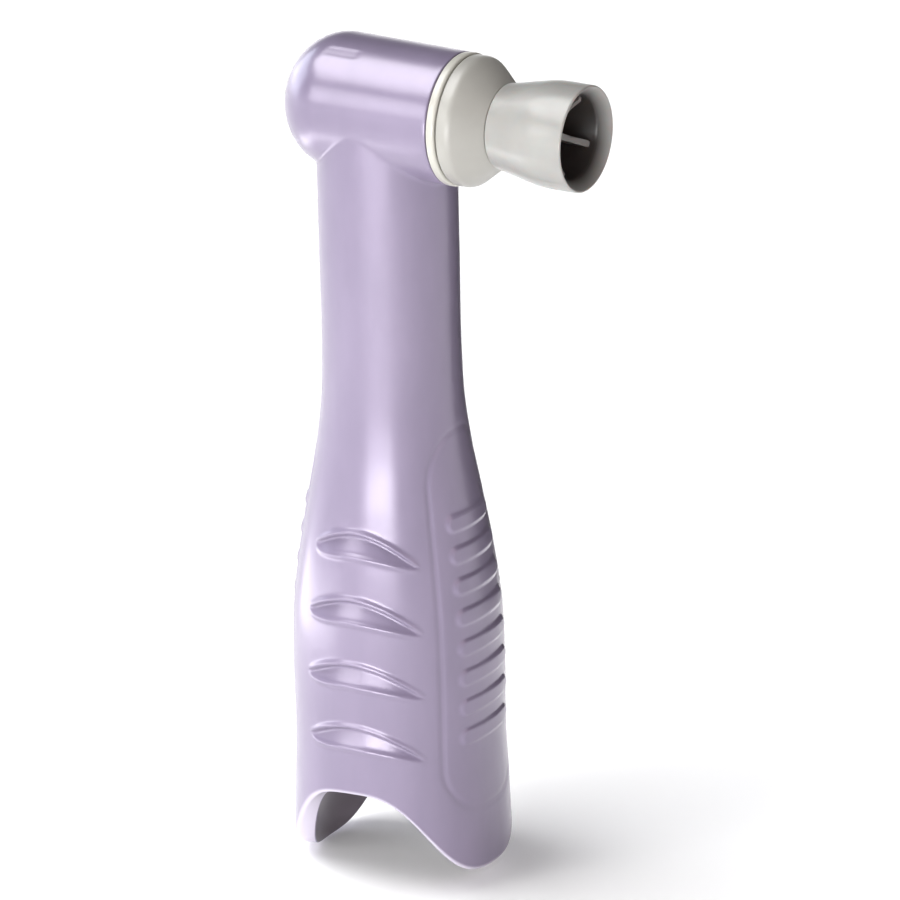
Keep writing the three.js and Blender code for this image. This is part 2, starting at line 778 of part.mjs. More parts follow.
// Pieces on the rotor axis: local +Y points out of the head, towards the cup.
const headGroup = new THREE.Group();
headGroup.position.z = HEAD_Z;
headGroup.rotation.z = -Math.PI / 2;
const drivenGearPiece = piece("driven_gear", drivenGear(), gearNylon);
drivenGearPiece.rotation.y = halfTooth; // half a pitch on, so that the gears are in mesh
headGroup.add(
  drivenGearPiece,
  piece("rotor_spindle", rotorSpindle(), stainless),
  piece("rear_bush", tube(PIVOT_R + RUNNING, REAR_BUSH_R, REAR_BUSH), bronze),
  piece(
    "rear_thrust_washer",
    tube(PIVOT_R + RUNNING, 1.8, [CAVITY_BACK + FACE_GAP, COLLAR[0] - FACE_GAP]),
    stainless,
  ),
  piece(
    "front_thrust_washer",
    tube(SPINDLE_R + RUNNING, 2.9, [DRIVEN_GEAR_BACK + FACE_GAP, FRONT_BUSH[0] - FACE_GAP]),
    stainless,
  ),
  piece("front_bush", tube(SPINDLE_R + RUNNING, FRONT_BUSH_R, FRONT_BUSH), bronze),
  piece("head_cap", headCap(), ivory),
  piece("head_cap_seal", roundRing(CAP_SEAL_R, CAP_SEAL_SECTION, CAP_SEAL_X), sealRubber),
  piece("rotor_seal", rotorSeal(), sealRubber),
  piece("rotor_hub", rotorHub(), hubGrey),
  piece("cup_button", cupButton(), acetal),
  piece("polishing_cup", polishingCup(), cupRubber),
);

const handpiece = new THREE.Group();
handpiece.add(piece("body_shell", bodyShell(), lilac), shaftGroup, headGroup);

export default handpiece;
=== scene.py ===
"""Looks of the right-angle polishing handpiece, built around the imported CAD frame.

The driving dimensions come first, then the camera and lights, mesh helpers, materials, the pieces that
replace CAD nodes, and the finish of the nodes that stay. Sizes are in millimetres and become metres when a
mesh is made. Only the lights, the flag and the floor are sized in metres.
"""

import json
import math

import bpy
import numpy as np
from mathutils import Matrix, Vector


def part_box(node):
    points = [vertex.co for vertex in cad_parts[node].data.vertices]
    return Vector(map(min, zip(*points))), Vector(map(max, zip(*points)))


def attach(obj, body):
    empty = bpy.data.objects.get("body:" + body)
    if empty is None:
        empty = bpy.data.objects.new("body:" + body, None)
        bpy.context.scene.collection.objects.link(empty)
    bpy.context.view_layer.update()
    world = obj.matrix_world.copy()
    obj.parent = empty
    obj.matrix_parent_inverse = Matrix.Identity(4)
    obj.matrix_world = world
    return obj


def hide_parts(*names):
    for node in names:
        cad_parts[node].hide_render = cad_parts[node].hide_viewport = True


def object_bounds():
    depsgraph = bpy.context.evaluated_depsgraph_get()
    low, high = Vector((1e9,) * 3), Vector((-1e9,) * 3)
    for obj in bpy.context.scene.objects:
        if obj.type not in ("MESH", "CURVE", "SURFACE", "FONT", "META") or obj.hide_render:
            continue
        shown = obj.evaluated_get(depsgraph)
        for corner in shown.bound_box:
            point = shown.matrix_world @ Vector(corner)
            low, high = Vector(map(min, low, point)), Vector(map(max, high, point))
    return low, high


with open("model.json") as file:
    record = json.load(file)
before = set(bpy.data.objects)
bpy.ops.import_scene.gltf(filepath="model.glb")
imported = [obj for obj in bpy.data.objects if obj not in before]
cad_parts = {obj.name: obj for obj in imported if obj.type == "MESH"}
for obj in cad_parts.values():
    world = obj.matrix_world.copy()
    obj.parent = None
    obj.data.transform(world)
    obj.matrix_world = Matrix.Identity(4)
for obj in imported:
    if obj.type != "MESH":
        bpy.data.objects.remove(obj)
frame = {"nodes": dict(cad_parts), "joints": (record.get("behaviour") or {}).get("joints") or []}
CAD_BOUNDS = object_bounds()
MM = 0.001
TINY = 1e-9  # keeps divisions clear of zero


def span(node, axis):
    """Lowest and highest coordinate of a CAD node along an axis, in millimetres."""
    low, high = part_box(node)
    return low[axis] / MM, high[axis] / MM


# ------------------------------------------------------------------------------------------
# Driving dimensions
# ------------------------------------------------------------------------------------------

X, Y, Z = 0, 1, 2
JOINTS = {joint["name"]: joint for joint in frame["joints"]}
HEAD_Z = JOINTS["rotor_spin"]["pos_m"][Z] / MM

# Head barrel, along X
BARREL_R = 4.58  # where the dome begins
BARREL_MOUTH_R = 4.42
BARREL_FRONT = span("head_cap_seal", X)[1] + 0.42
DOME_START = -2.9
DOME_LENGTH = 4.0
DOME_STEPS = 36
BARREL_COLUMNS = 192
BARREL_ROW = 0.17
MOUTH_ROUNDING = 0.1
MOUTH_STEPS = 4
MARK_X = (-3.1, -0.7)  # the small recessed mark on top of the head
MARK_TURN = math.radians(28)
MARK_HALF_WIDTH = 0.34
MARK_CORNER = 0.12
MARK_EDGE = 0.08
MARK_DEPTH = 0.028

# Neck and grip: [height below the head's axis, half-width along X, half-width along Y, squareness]
STATIONS = [
    [-54.0, 7.34, 7.28, 2.2],
    [-48.0, 7.14, 7.08, 2.2],
    [-44.0, 7.0, 6.95, 2.2],
    [-39.0, 7.02, 6.96, 2.2],
    [-35.0, 6.88, 6.82, 2.2],
    [-31.0, 6.44, 6.37, 2.15],
    [-27.0, 5.8, 5.7, 2.1],
    [-23.0, 5.14, 5.0, 2.05],
    [-20.0, 4.84, 4.66, 2.0],
    [-17.0, 4.74, 4.5, 2.0],
    [-10.0, 4.75, 4.44, 2.0],
    [0.0, 4.75, 4.42, 2.0],
]
WAVE_MIDDLE = -5.15  # the skirt's lower edge
WAVE_HEIGHT = 3.35
WAVE_SHARPNESS = 0.4
WAVE_LEAN = 0.45
WAVE_TOP = -0.2  # below this height the rows bend towards the wave
COLUMNS = 256
GRIP_ROW = 0.1  # row spacing on the finger grips
PLAIN_ROW = 0.2
WAVE_ROW = PLAIN_ROW / 1.3
NECK_ROW = 0.9
CREASE_ROW = 0.2
PANEL_ROWS_TOP = 25.0
GRIP_ROWS_TOP = 17.6
CREASE_BOTTOM = 38.0
CREASE_BLEND = 0.18  # size of the soft crease between the neck and the barrel
CREASE_PASSES = 12
CREASE_STEP = 0.8
ON_SURFACE = 0.02  # a point this close to a surface counts as being on it
LIP_OUTER = 0.42  # rounding of the skirt's lower edge
LIP_INNER = 0.12
LIP_STEPS = 8
LIP_INNER_STEPS = 4
LIP_WALL = 0.1  # the lip's painted highlight is full up to this height, and starts this far outside the inner wall

# Inside the skirt
SKIRT_INNER_R = 6.05
SKIRT_STEP_Z = -0.9
SKIRT_UPPER_R = 5.8
SKIRT_PROFILE = [(5.75, 4.0), (5.2, 11.0), (4.5, 12.2)]
SKIRT_WALL_ROWS = 4
LEDGE_CLEARANCE = 0.6  # the ledge inside stays this far above the skirt's edge
LEDGE_CUT = (0.05, 0.04, 0.06)  # how far its edges are cut back, below, along and above it
RIB_COUNT = 6
RIB_TURN = math.radians(30)
RIB_WIDTH = 0.9
RIB_BOTTOM = 0.8
RIB_INNER_R = 4.3
RIB_OUTER_R = 5.9  # within the thickness of the skirt's wall
RIB_ROUNDING = 0.15
RIB_CORNER = 0.3  # how far a rounded corner's middle point lies along each side
INSIDE_DEPTH = 0.8  # points this far under the plain outside are inside the skirt or the bore, and get the painted shade

# Bores, as [radius, start, end] steps along their axis
HEAD_BORE = [(1.9, -5.7, -3.5), (3.35, -3.5, 4.2), (3.55, 4.2, BARREL_FRONT + 1)]
NECK_BORE = [(4.15, 11.2, 22.9), (3.3, 22.9, 40.05), (3.12, 40.05, 43.65)]

# Finger grips: crescents on the two Y faces
GRIP_TOPS = (16.9, 12.35, 7.8, 3.25)
GRIP_TURN = math.radians(9)  # the crescents' middles lie this far towards +X
GRIP_HALF_ANGLE = math.radians(36)
GRIP_PEAK_TURN = math.radians(4)  # where a crescent is highest
GRIP_CURVE = 4.3  # drop from the peak, per radian squared
GRIP_HEIGHT = 1.55
GRIP_DEPTH = 0.46
GRIP_WALL = 0.24  # share of a crescent's height that its steep upper wall takes
GRIP_TAPER = (0.8, 0.6, 1.03)  # how fast a crescent narrows to its +X and -X tips, and its widest value
GRIP_LIP = (0.15, 0.08, 0.35)  # ridge over a crescent: rise, place above the edge, fade to the tips
GRIP_SILL = (0.105, -0.1, 0.5)  # the same for the ridge under it
GRIP_RIDGE_WIDTH = 0.19
GRIP_DEPTH_FADE = 0.9
GRIP_TIP = 1e-6  # a crescent's height at its tips

# Grooved panels on the two X faces, each with a column of raised bars
PANEL_R = 6.6
PANEL_TOP = 23.3
PANEL_BOTTOM = -3.4
PANEL_HALF_WIDTH = 4.1
PANEL_CORNER = 3.6
GROOVE_DEPTH = 0.11
GROOVE_WIDTH = 0.17
BAR_TOP = 17.2
BAR_COUNT = 8
BAR_PITCH = 2.15
BAR_HALF_WIDTH = 2.75
BAR_HALF_HEIGHT = 0.56
BAR_RISE = 0.16
BAR_EDGE = 0.17

# Fits and roundings of the small pieces
RUNNING = 0.05  # radial clearance of a shaft in its bush
SNUG = 0.04  # radial clearance of pieces pressed together
CUP_GAP = 0.06  # clearance between the cup and its button
EDGE = 0.05  # rounding of a small turned edge

# Shaft, dog and socket, along Z
SHAFT_R = 1.18
SHAFT_TOP_R = 1.0
CLIP_GROOVE_R = 0.86
CLIP_OPENING = 1.5
DOG_R = 1.75
DOG_MOUTH_R = 0.7
DOG_SLOT = 1.1
DOG_SLOT_DEPTH = 2.2
FLANGE_THICKNESS = 0.85
SLEEVE_R = 4.1
NOSE_BORE_R = 3.15
SLEEVE_SLOTS = 4
SLEEVE_SLOT_WIDTH = 0.9
SLEEVE_SLOT_TOP = 8.5

# Cap, hub, spindle and button, along X
CAP_PLUG_R = HEAD_BORE[-1][0] - SNUG
CAP_GROOVE_R = 2.95
HUB_CONE_X = 7.24
HUB_NOSE_R = 2.78
SPINDLE_R = 1.0
PIVOT_R = 0.8
COLLAR_R = 1.4
COLLAR_X = (-3.05, -2.5)
GEAR_SEAT_X = 1.6
STUD_R = 0.75
STEM_R = 1.15
STEM_LENGTH = 0.72

# Cup, along X
CUP_BACK, CUP_RIM = span("polishing_cup", X)
CUP_BACK_R = 2.84
CUP_OUTSIDE = [  # [radius, distance behind the rim, rounding]
    (3.36, 0.06, 0.1),
    (3.44, 0, 0.05),
    (3.52, 0.1, 0.08),
    (3.54, 1.78, 0.5),
    (3.5, 2.68, 0.45),
    (3.22, 4.08, 0.5),
    (3.0, 5.08, 0.4),
]
BOWL_FLOOR = CUP_BACK + 2.27
BOWL_FLOOR_R = 2.1
BOWL_LIP_R = 2.75
BOWL_LIP_X = CUP_RIM - 0.8
BOWL_SHADE = 0.3  # the dark inside of the bowl ends this far up its lip
WEB_COUNT = 4
WEB_TURN = math.radians(-27)
WEB_WIDTH = 0.42
WEB_MIDDLE = CUP_RIM - 2.33  # where the webs meet on the axis
WEB_MIDDLE_R = 0.12
WEB_STEPS = 14
WEB_SHADE = 0.45
WEB_SECTION = [(-0.5, 0.12), (-0.42, 0.03), (-0.3, 0), (0.3, 0), (0.42, 0.03), (0.5, 0.12)]  # [share, inset]

# ------------------------------------------------------------------------------------------
# Camera, floor and lights
# ------------------------------------------------------------------------------------------

CAMERA_TURN = math.radians(31.2)
CAMERA_RISE = math.radians(21.1)
CAMERA_ROLL = math.radians(-1.24)
CAMERA_DISTANCE = 394.3
CAMERA_SHIFT = (4.22, -22.56)  # right and up from the head
CAMERA_LENS = 240.24
SENSOR = 36.0
FLOOR_HALF = 12.0
FLOOR_GAP = 0.0002
FLOOR_GLOW = (0.45, 1.6, 0.0, 1.0)  # distances where the glow starts and is full, and the glow at each
HORIZON_FADE = (0.06, 0.3, 1.02, 0.08)  # height of the fade's start and end, and the brightness at each
FLAG_TURN = math.radians(166)
FLAG_DISTANCE = 0.06
FLAG_HALF_WIDTH = 0.033
FLAG_HEIGHT = 0.075
WHITE = (1, 1, 1)
LIGHTS = [  # [name, azimuth, elevation, distance, size, power, colour]
    ("top", -62, 62, 3.0, (2.5, 2.0), 100, WHITE),
    ("second", -29, 20, 3.0, (1.2, 1.1), 21, WHITE),
    ("left", -96, 16, 3.0, (2.4, 1.6), 38, (0.84, 0.9, 1.0)),
    ("right", 84, 22, 3.0, (1.8, 1.6), 12, (1.0, 0.82, 0.8)),
    ("front", 5, 6, 0.15, (0.1, 0.044), 0.17, WHITE),
    ("low", -66, -22, 0.062, (0.06, 0.012), 0.009, WHITE),
]


def make_camera():
    back = Vector(
        (
            math.sin(CAMERA_TURN) * math.cos(CAMERA_RISE),
            -math.cos(CAMERA_TURN) * math.cos(CAMERA_RISE),
            math.sin(CAMERA_RISE),
        )
    )
    level_right = Vector((math.cos(CAMERA_TURN), math.sin(CAMERA_TURN), 0))
    level_up = back.cross(level_right)
    right = level_right * math.cos(CAMERA_ROLL) + level_up * math.sin(CAMERA_ROLL)
    up = level_up * math.cos(CAMERA_ROLL) - level_right * math.sin(CAMERA_ROLL)
    place = Vector((0, 0, HEAD_Z)) + back * CAMERA_DISTANCE
    place += right * CAMERA_SHIFT[0] + up * CAMERA_SHIFT[1]
    data = bpy.data.cameras.new("camera")
    data.lens = CAMERA_LENS
    data.sensor_width = SENSOR
    data.clip_start = 0.01
    data.clip_end = 10
    camera = bpy.data.objects.new("camera", data)
    turn = Matrix((right, up, back)).transposed().to_4x4()
    camera.matrix_world = Matrix.Translation(place * MM) @ turn
    bpy.context.scene.collection.objects.link(camera)
    bpy.context.scene.camera = camera


def add_light(name, azimuth, elevation, distance, size, power, colour):
    """A rectangular soft light that faces the middle of the object. Azimuth 0 is in front, at -Y."""
    middle = (CAD_BOUNDS[0] + CAD_BOUNDS[1]) / 2
    a, e = math.radians(azimuth), math.radians(elevation)
    way = Vector((math.sin(a) * math.cos(e), -math.cos(a) * math.cos(e), math.sin(e)))
    data = bpy.data.lights.new(name, "AREA")
    data.shape = "RECTANGLE"
    data.size, data.size_y = size
    data.energy = power
    data.color = colour
    light = bpy.data.objects.new(name, data)
    light.location = middle + way * distance
    light.rotation_euler = way.to_track_quat("Z", "Y").to_euler()
    bpy.context.scene.collection.objects.link(light)
    return light


def make_flag():
    """A black card behind the object. Only reflections see it: it darkens those along the right."""
    middle = Vector((math.sin(FLAG_TURN), -math.cos(FLAG_TURN), 0)) * FLAG_DISTANCE
    side = Vector((math.cos(FLAG_TURN), math.sin(FLAG_TURN), 0)) * FLAG_HALF_WIDTH
    middle.z = CAD_BOUNDS[0][Z]
    rise = Vector((0, 0, FLAG_HEIGHT))
    corners = [middle - side, middle + side, middle + side + rise, middle - side + rise]
    mesh = bpy.data.meshes.new("flag")
    mesh.from_pydata(corners, [], [(0, 1, 2, 3)])
    flag = bpy.data.objects.new("flag", mesh)
    bpy.context.scene.collection.objects.link(flag)
    flag.visible_camera = False
    flag.visible_shadow = False
    flag.visible_diffuse = False
    cloth = bpy.data.materials.new("flag_cloth")
    cloth.use_nodes = True
    surface = cloth.node_tree.nodes["Principled BSDF"]
    surface.inputs["Base Color"].default_value = (0.02, 0.02, 0.02, 1)
    surface.inputs["Roughness"].default_value = 1.0
    mesh.materials.append(cloth)


def map_range(nodes, links, value, numbers):
    """A Map Range node on value, from (from min, from max, to min, to max)."""
    node = nodes.new("ShaderNodeMapRange")
    for socket, number in zip(("From Min", "From Max", "To Min", "To Max"), numbers):
        node.inputs[socket].default_value = number
    links.new(value, node.inputs["Value"])
    return node.outputs["Result"]


def make_floor():
    """A plain pale floor. It glows where the lights don't reach, to meet the white horizon."""
    floor_z = CAD_BOUNDS[0][Z] - FLOOR_GAP
    signs = [(-1, -1), (1, -1), (1, 1), (-1, 1)]
    corners = [(x * FLOOR_HALF, y * FLOOR_HALF, floor_z) for x, y in signs]
    mesh = bpy.data.meshes.new("floor")
    mesh.from_pydata(corners, [], [(0, 1, 2, 3)])
    floor = bpy.data.objects.new("floor", mesh)
    bpy.context.scene.collection.objects.link(floor)
    paper = bpy.data.materials.new("floor_paper")
    paper.use_nodes = True
    surface = paper.node_tree.nodes["Principled BSDF"]
    surface.inputs["Base Color"].default_value = (0.97, 0.97, 0.97, 1)
    surface.inputs["Roughness"].default_value = 0.9
    surface.inputs["Specular IOR Level"].default_value = 0.1
    surface.inputs["Emission Color"].default_value = (1, 1, 1, 1)
    nodes, links = paper.node_tree.nodes, paper.node_tree.links
    away = nodes.new("ShaderNodeVectorMath")
    away.operation = "LENGTH"
    links.new(nodes.new("ShaderNodeTexCoord").outputs["Object"], away.inputs[0])
    glow = map_range(nodes, links, away.outputs["Value"], FLOOR_GLOW)
    links.new(glow, surface.inputs["Emission Strength"])
    mesh.materials.append(paper)


def make_world():
    """A sky that is white along the horizon, where the floor ends, and dim above."""
    world = bpy.data.worlds.new("studio")
    world.use_nodes = True
    nodes, links = world.node_tree.nodes, world.node_tree.links
    height = nodes.new("ShaderNodeSeparateXYZ")
    links.new(nodes.new("ShaderNodeTexCoord").outputs["Generated"], height.inputs["Vector"])
    fade = map_range(nodes, links, height.outputs["Z"], HORIZON_FADE)
    links.new(fade, nodes["Background"].inputs["Strength"])
    nodes["Background"].inputs["Color"].default_value = (0.98, 0.98, 1.0, 1)
    bpy.context.scene.world = world


def make_lighting():
    make_world()
    lights = {light[0]: add_light(*light) for light in LIGHTS}
    low = lights["low"]  # turned up towards the head, and near enough to show, so hidden from the camera
    low.rotation_euler = (low.location - Vector((0, 0, HEAD_Z)) * MM).to_track_quat("Z", "Y").to_euler()
    low.visible_camera = False
    bpy.context.scene.view_settings.view_transform = "Standard"


make_camera()
make_floor()
make_flag()
make_lighting()

# ------------------------------------------------------------------------------------------
# Mesh helpers
# ------------------------------------------------------------------------------------------


def smoothstep(value, low, high):
    t = np.clip((value - low) / (high - low), 0, 1)
    return t * t * (3 - 2 * t)


def smooth_through(points):
    """A function that runs smoothly through [x, y] points, which are in rising x."""
    x, y = np.array(points, float).T
    slope = np.gradient(y, x)

    def value(at):
        at = np.clip(at, x[0], x[-1])
        i = np.clip(np.searchsorted(x, at) - 1, 0, len(x) - 2)
        h = x[i + 1] - x[i]
        t = (at - x[i]) / h
        start = (2 * t**3 - 3 * t**2 + 1) * y[i] + (t**3 - 2 * t**2 + t) * h * slope[i]
        end = (3 * t**2 - 2 * t**3) * y[i + 1] + (t**3 - t**2) * h * slope[i + 1]
        return start + end

    return value


def rounded_box(u, v, half_u, half_v, corner):
    """Distance from a rectangle with rounded corners, negative inside it."""
    du = np.abs(u) - (half_u - corner)
    dv = np.abs(v) - (half_v - corner)
    outside = np.hypot(np.maximum(du, 0), np.maximum(dv, 0))
    return outside + np.minimum(np.maximum(du, dv), 0) - corner


def make_object(name, points, faces):
    """A mesh object from points in millimetres."""
    mesh = bpy.data.meshes.new(name)
    mesh.from_pydata((np.asarray(points) * MM).tolist(), [], faces)
    mesh.validate()
    mesh.update()
    thing = bpy.data.objects.new(name, mesh)
    bpy.context.scene.collection.objects.link(thing)
    return thing


def skin(name, loops):
    """A closed mesh through loops of points. A fan round its middle closes the first and the last loop."""
    loops = np.asarray(loops, float)
    rows, columns = loops.shape[:2]
    points = list(loops.reshape(-1, 3))
    faces = []
    for i in range(rows - 1):
        for j in range(columns):
            k = (j + 1) % columns
            a, b = i * columns, (i + 1) * columns
            faces.append((a + j, a + k, b + k, b + j))
    for row, is_first in ((0, True), (rows - 1, False)):
        hub = len(points)
        points.append(loops[row].mean(0))
        for j in range(columns):
            k = (j + 1) % columns
            ends = (row * columns + k, row * columns + j)
            faces.append((hub, *ends) if is_first else (hub, *ends[::-1]))
    return make_object(name, points, faces)


def rounded_outline(corners, steps=5):
    """Points of an outline whose corners each have a rounding. Its ends stay sharp."""
    corners = [(*corner, 0.0) if len(corner) == 2 else corner for corner in corners]
    outline = []
    for i, (r, h, rounding) in enumerate(corners):
        here = np.array((r, h))
        if rounding <= 0 or i in (0, len(corners) - 1):
            outline.append(here)
            continue
        before = np.array(corners[i - 1][:2]) - here
        after = np.array(corners[i + 1][:2]) - here
        reach = min(rounding, 0.48 * np.linalg.norm(before), 0.48 * np.linalg.norm(after))
        start = here + before / np.linalg.norm(before) * reach
        end = here + after / np.linalg.norm(after) * reach
        for step in range(steps + 1):
            t = step / steps
            outline.append((1 - t) ** 2 * start + 2 * t * (1 - t) * here + t**2 * end)
    return np.array(outline)


def turned(name, corners, axis, columns=128, steps=5, ring=False):
    """A solid of revolution about the drive axis (Z) or the rotor axis (X), from rounded corners.

    A ring's outline closes on itself. Any other starts and ends on the axis."""
    if ring:
        middle = [(corners[-1][n] + corners[0][n]) / 2 for n in range(2)]
        corners = [tuple(middle), *corners, tuple(middle)]
    outline = rounded_outline(corners, steps)
    angles = np.arange(columns) * 2 * math.pi / columns
    radius = outline[:, 0][:, None]
    along = np.broadcast_to(outline[:, 1][:, None], (len(outline), columns))
    first, second = radius * np.cos(angles), radius * np.sin(angles)
    if axis == Z:
        loops = np.stack([first, second, along], -1)
    else:
        loops = np.stack([along, first, second + HEAD_Z], -1)
    if ring:
        rows = len(outline) - 1
        points = loops[:rows].reshape(-1, 3)
        faces = []
        for i in range(rows):
            for j in range(columns):
                k = (j + 1) % columns
                a, b = i * columns, ((i + 1) % rows) * columns
                faces.append((a + j, a + k, b + k, b + j))
        thing = make_object(name, points, faces)
    else:
        thing = skin(name, loops[1:-1])
    face_outwards(thing)
    return thing


def stepped_bore(name, steps, axis):
    """A solid to cut a bore with, from its [radius, start, end] steps."""
    corners = [(0, steps[0][1])]
    for radius, start, end in steps:
        corners += [(radius, start), (radius, end)]
    corners.append((0, steps[-1][2]))
    return turned(name, [corners[0], *corners, corners[-1]], axis, 96)


def face_outwards(thing):
    """Turns every face over if the closed mesh is inside out."""
    mesh = thing.data
    co = np.zeros(len(mesh.vertices) * 3)
    mesh.vertices.foreach_get("co", co)
    co = co.reshape(-1, 3)
    mesh.calc_loop_triangles()
    tris = np.zeros(len(mesh.loop_triangles) * 3, int)
    mesh.loop_triangles.foreach_get("vertices", tris)
    a, b, c = (co[tris.reshape(-1, 3)[:, n]] for n in range(3))
    if np.einsum("ij,ij->i", a, np.cross(b, c)).sum() < 0:
        mesh.flip_normals()


def combine(thing, operation, tool):
    """thing with tool joined to it or cut from it. The tool is then removed."""
    modifier = thing.modifiers.new("cut", "BOOLEAN")
    modifier.operation = operation
    modifier.solver = "MANIFOLD"
    modifier.object = tool
    bpy.context.view_layer.update()
    graph = bpy.context.evaluated_depsgraph_get()
    result = bpy.data.meshes.new_from_object(thing.evaluated_get(graph))
    thing.modifiers.clear()
    thing.data = result
    bpy.data.objects.remove(tool)
    return thing


def shade(thing, sharp_degrees=40):
    """Smooth shading that keeps the edges sharp where faces meet at more than this angle."""
    mesh = thing.data
    mesh.polygons.foreach_set("use_smooth", [True] * len(mesh.polygons))
    mesh.set_sharp_from_angle(angle=math.radians(sharp_degrees))
    mesh.update()


def coordinates(thing):
    """The mesh's points in millimetres."""
    co = np.zeros(len(thing.data.vertices) * 3)
    thing.data.vertices.foreach_get("co", co)
    return co.reshape(-1, 3) / MM


def move_points(thing, points):
    thing.data.vertices.foreach_set("co", (points * MM).ravel())
    thing.data.update()


def paint(thing, name, values):
    """Stores a number on every point, for a material to read."""
    attribute = thing.data.attributes.new(name, "FLOAT", "POINT")
    attribute.data.foreach_set("value", np.asarray(values, np.float32))


def place(thing, body, node, slot, finish):
    """Gives a piece its finish, and lets it ride on a body in place of a CAD node."""
    thing.data.materials.clear()
    thing.data.materials.append(finish)
    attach(thing, body)
    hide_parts(node)


# ------------------------------------------------------------------------------------------
# Materials
# ------------------------------------------------------------------------------------------


class Finish:
    """A procedural material whose patterns are laid out in the object's own space."""

    def __init__(self, name, **values):
        self.material = bpy.data.materials.new(name)
        self.material.use_nodes = True
        self.nodes = self.material.node_tree.nodes
        self.links = self.material.node_tree.links
        self.surface = self.nodes["Principled BSDF"]
        for key, value in values.items():
            self.surface.inputs[key.replace("_", " ")].default_value = value
        self.position = self.nodes.new("ShaderNodeTexCoord").outputs["Object"]
        self.normal = None

    def noise(self, size, detail=2.0, stretch=(1, 1, 1)):
        """Noise whose features are about this size."""
        mapping = self.nodes.new("ShaderNodeMapping")
        mapping.inputs["Scale"].default_value = [1 / (s * MM) for s in stretch]
        self.links.new(self.position, mapping.inputs["Vector"])
        texture = self.nodes.new("ShaderNodeTexNoise")
        texture.inputs["Scale"].default_value = 1 / size
        texture.inputs["Detail"].default_value = detail
        self.links.new(mapping.outputs["Vector"], texture.inputs["Vector"])
        return texture.outputs["Fac"]

    def scaled(self, value, *numbers):
        return map_range(self.nodes, self.links, value, numbers)

    def mixed(self, share, first, second):
        """A colour between two, each a constant or another node's output."""
        node = self.nodes.new("ShaderNodeMix")
        node.data_type = "RGBA"
        self.links.new(share, node.inputs[0])
        for socket, colour in ((node.inputs[6], first), (node.inputs[7], second)):
            if isinstance(colour, tuple):
                socket.default_value = (*colour, 1)
            else:
                self.links.new(colour, socket)
        return node.outputs[2]

    def painted(self, name):
        """The number stored on the mesh's points under this name."""
        node = self.nodes.new("ShaderNodeAttribute")
        node.attribute_name = name
        return node.outputs["Fac"]

    def colour(self, output):
        self.links.new(output, self.surface.inputs["Base Color"])

    def roughness(self, output):
        self.links.new(output, self.surface.inputs["Roughness"])

    def bump(self, height, depth):
        """Bumps of this depth, laid on top of any made before."""
        node = self.nodes.new("ShaderNodeBump")
        node.inputs["Strength"].default_value = 1.0
        node.inputs["Distance"].default_value = depth * MM
        self.links.new(height, node.inputs["Height"])
        if self.normal:
            self.links.new(self.normal, node.inputs["Normal"])
        self.normal = node.outputs["Normal"]
        self.links.new(self.normal, self.surface.inputs["Normal"])


GRAIN_DEPTH = 0.004
CLOUDS = (0.3, 0.7, 0, 1)  # stretches the middle of a noise to its full range


def moulded(name, dark, light, roughness, grain=0.25, depth=GRAIN_DEPTH, cloud=5.0, **values):
    """Moulded plastic or rubber: a cloudy tint, a fine grain, and a roughness that wanders."""
    spread = 0.06
    finish = Finish(name, **values)
    cloudy = finish.scaled(finish.noise(cloud, 3.0), *CLOUDS)
    finish.colour(finish.mixed(cloudy, dark, light))
    handled = finish.noise(cloud * 0.6, 4.0)
    finish.roughness(finish.scaled(handled, 0.3, 0.7, roughness - spread, roughness + spread))
    finish.bump(finish.noise(grain, 2.0), depth)
    return finish


def pearl_plastic():
    """Pearly lilac plastic: soft mica clouds under a clear skin, with a painted highlight on the skirt's lip
    and painted shade inside the skirt and the bore.
    """
    dark, light = (0.198, 0.166, 0.246), (0.224, 0.187, 0.275)
    # lip: painted highlight colour for the skirt's rounded lip; inside: painted shade colour inside the
    # skirt and the bore
    lip, inside = (0.62, 0.57, 0.68), (0.135, 0.11, 0.13)
    skin_values = {"Coat_Weight": 1.0, "Coat_Roughness": 0.24}
    finish = Finish("pearl_lilac_plastic", Metallic=0.18, Specular_IOR_Level=0.45, **skin_values)
    finish.surface.inputs["Specular Tint"].default_value = (0.75, 0.67, 0.8, 1)
    flow = finish.scaled(finish.noise(3.0, 3.0, stretch=(1, 1, 3)), *CLOUDS)
    pearly = finish.mixed(flow, dark, light)
    # the painted lip highlight, then the painted shade inside, laid over the pearl tint
    pearly = finish.mixed(finish.painted("lip"), pearly, lip)
    finish.colour(finish.mixed(finish.painted("inside"), pearly, inside))
    finish.roughness(finish.scaled(finish.noise(1.5, 4.0), 0.3, 0.7, 0.29, 0.36))
    finish.bump(finish.noise(0.9, 2.0), GRAIN_DEPTH)
    return finish.material


def cup_rubber():
    """Soft grey rubber with faint turning lines, and painted shade deep in the bowl."""
    # hollow: painted shade colour deep in the bowl
    dark, light, hollow = (0.262, 0.258, 0.244), (0.306, 0.301, 0.286), (0.032, 0.026, 0.024)
    skin_values = {"Coat_Weight": 0.25, "Coat_Roughness": 0.2}
    finish = moulded("cup_rubber", dark, light, 0.36, 0.3, 0.005, 3.0, **skin_values)
    finish.surface.inputs["Subsurface Weight"].default_value = 0.2
    finish.surface.inputs["Subsurface Scale"].default_value = 0.5 * MM
    outside = finish.surface.inputs["Base Color"].links[0].from_socket
    # painted shade deep in the bowl, where the "hollow" number is painted
    finish.colour(finish.mixed(finish.painted("hollow"), outside, hollow))
    finish.bump(finish.noise(0.4, 1.0, stretch=(0.12, 3, 3)), GRAIN_DEPTH)
    return finish.material


def metal(name, dark, light, roughness, stretch):
    """Turned or ground metal, with fine marks round its axis."""
    finish = Finish(name, Metallic=1.0)
    marks = finish.noise(0.3, 3.0, stretch=stretch)
    finish.colour(finish.mixed(finish.scaled(marks, *CLOUDS), dark, light))
    finish.roughness(finish.scaled(marks, 0.3, 0.7, roughness - 0.08, roughness + 0.08))
    finish.bump(marks, 0.003)
    return finish.material


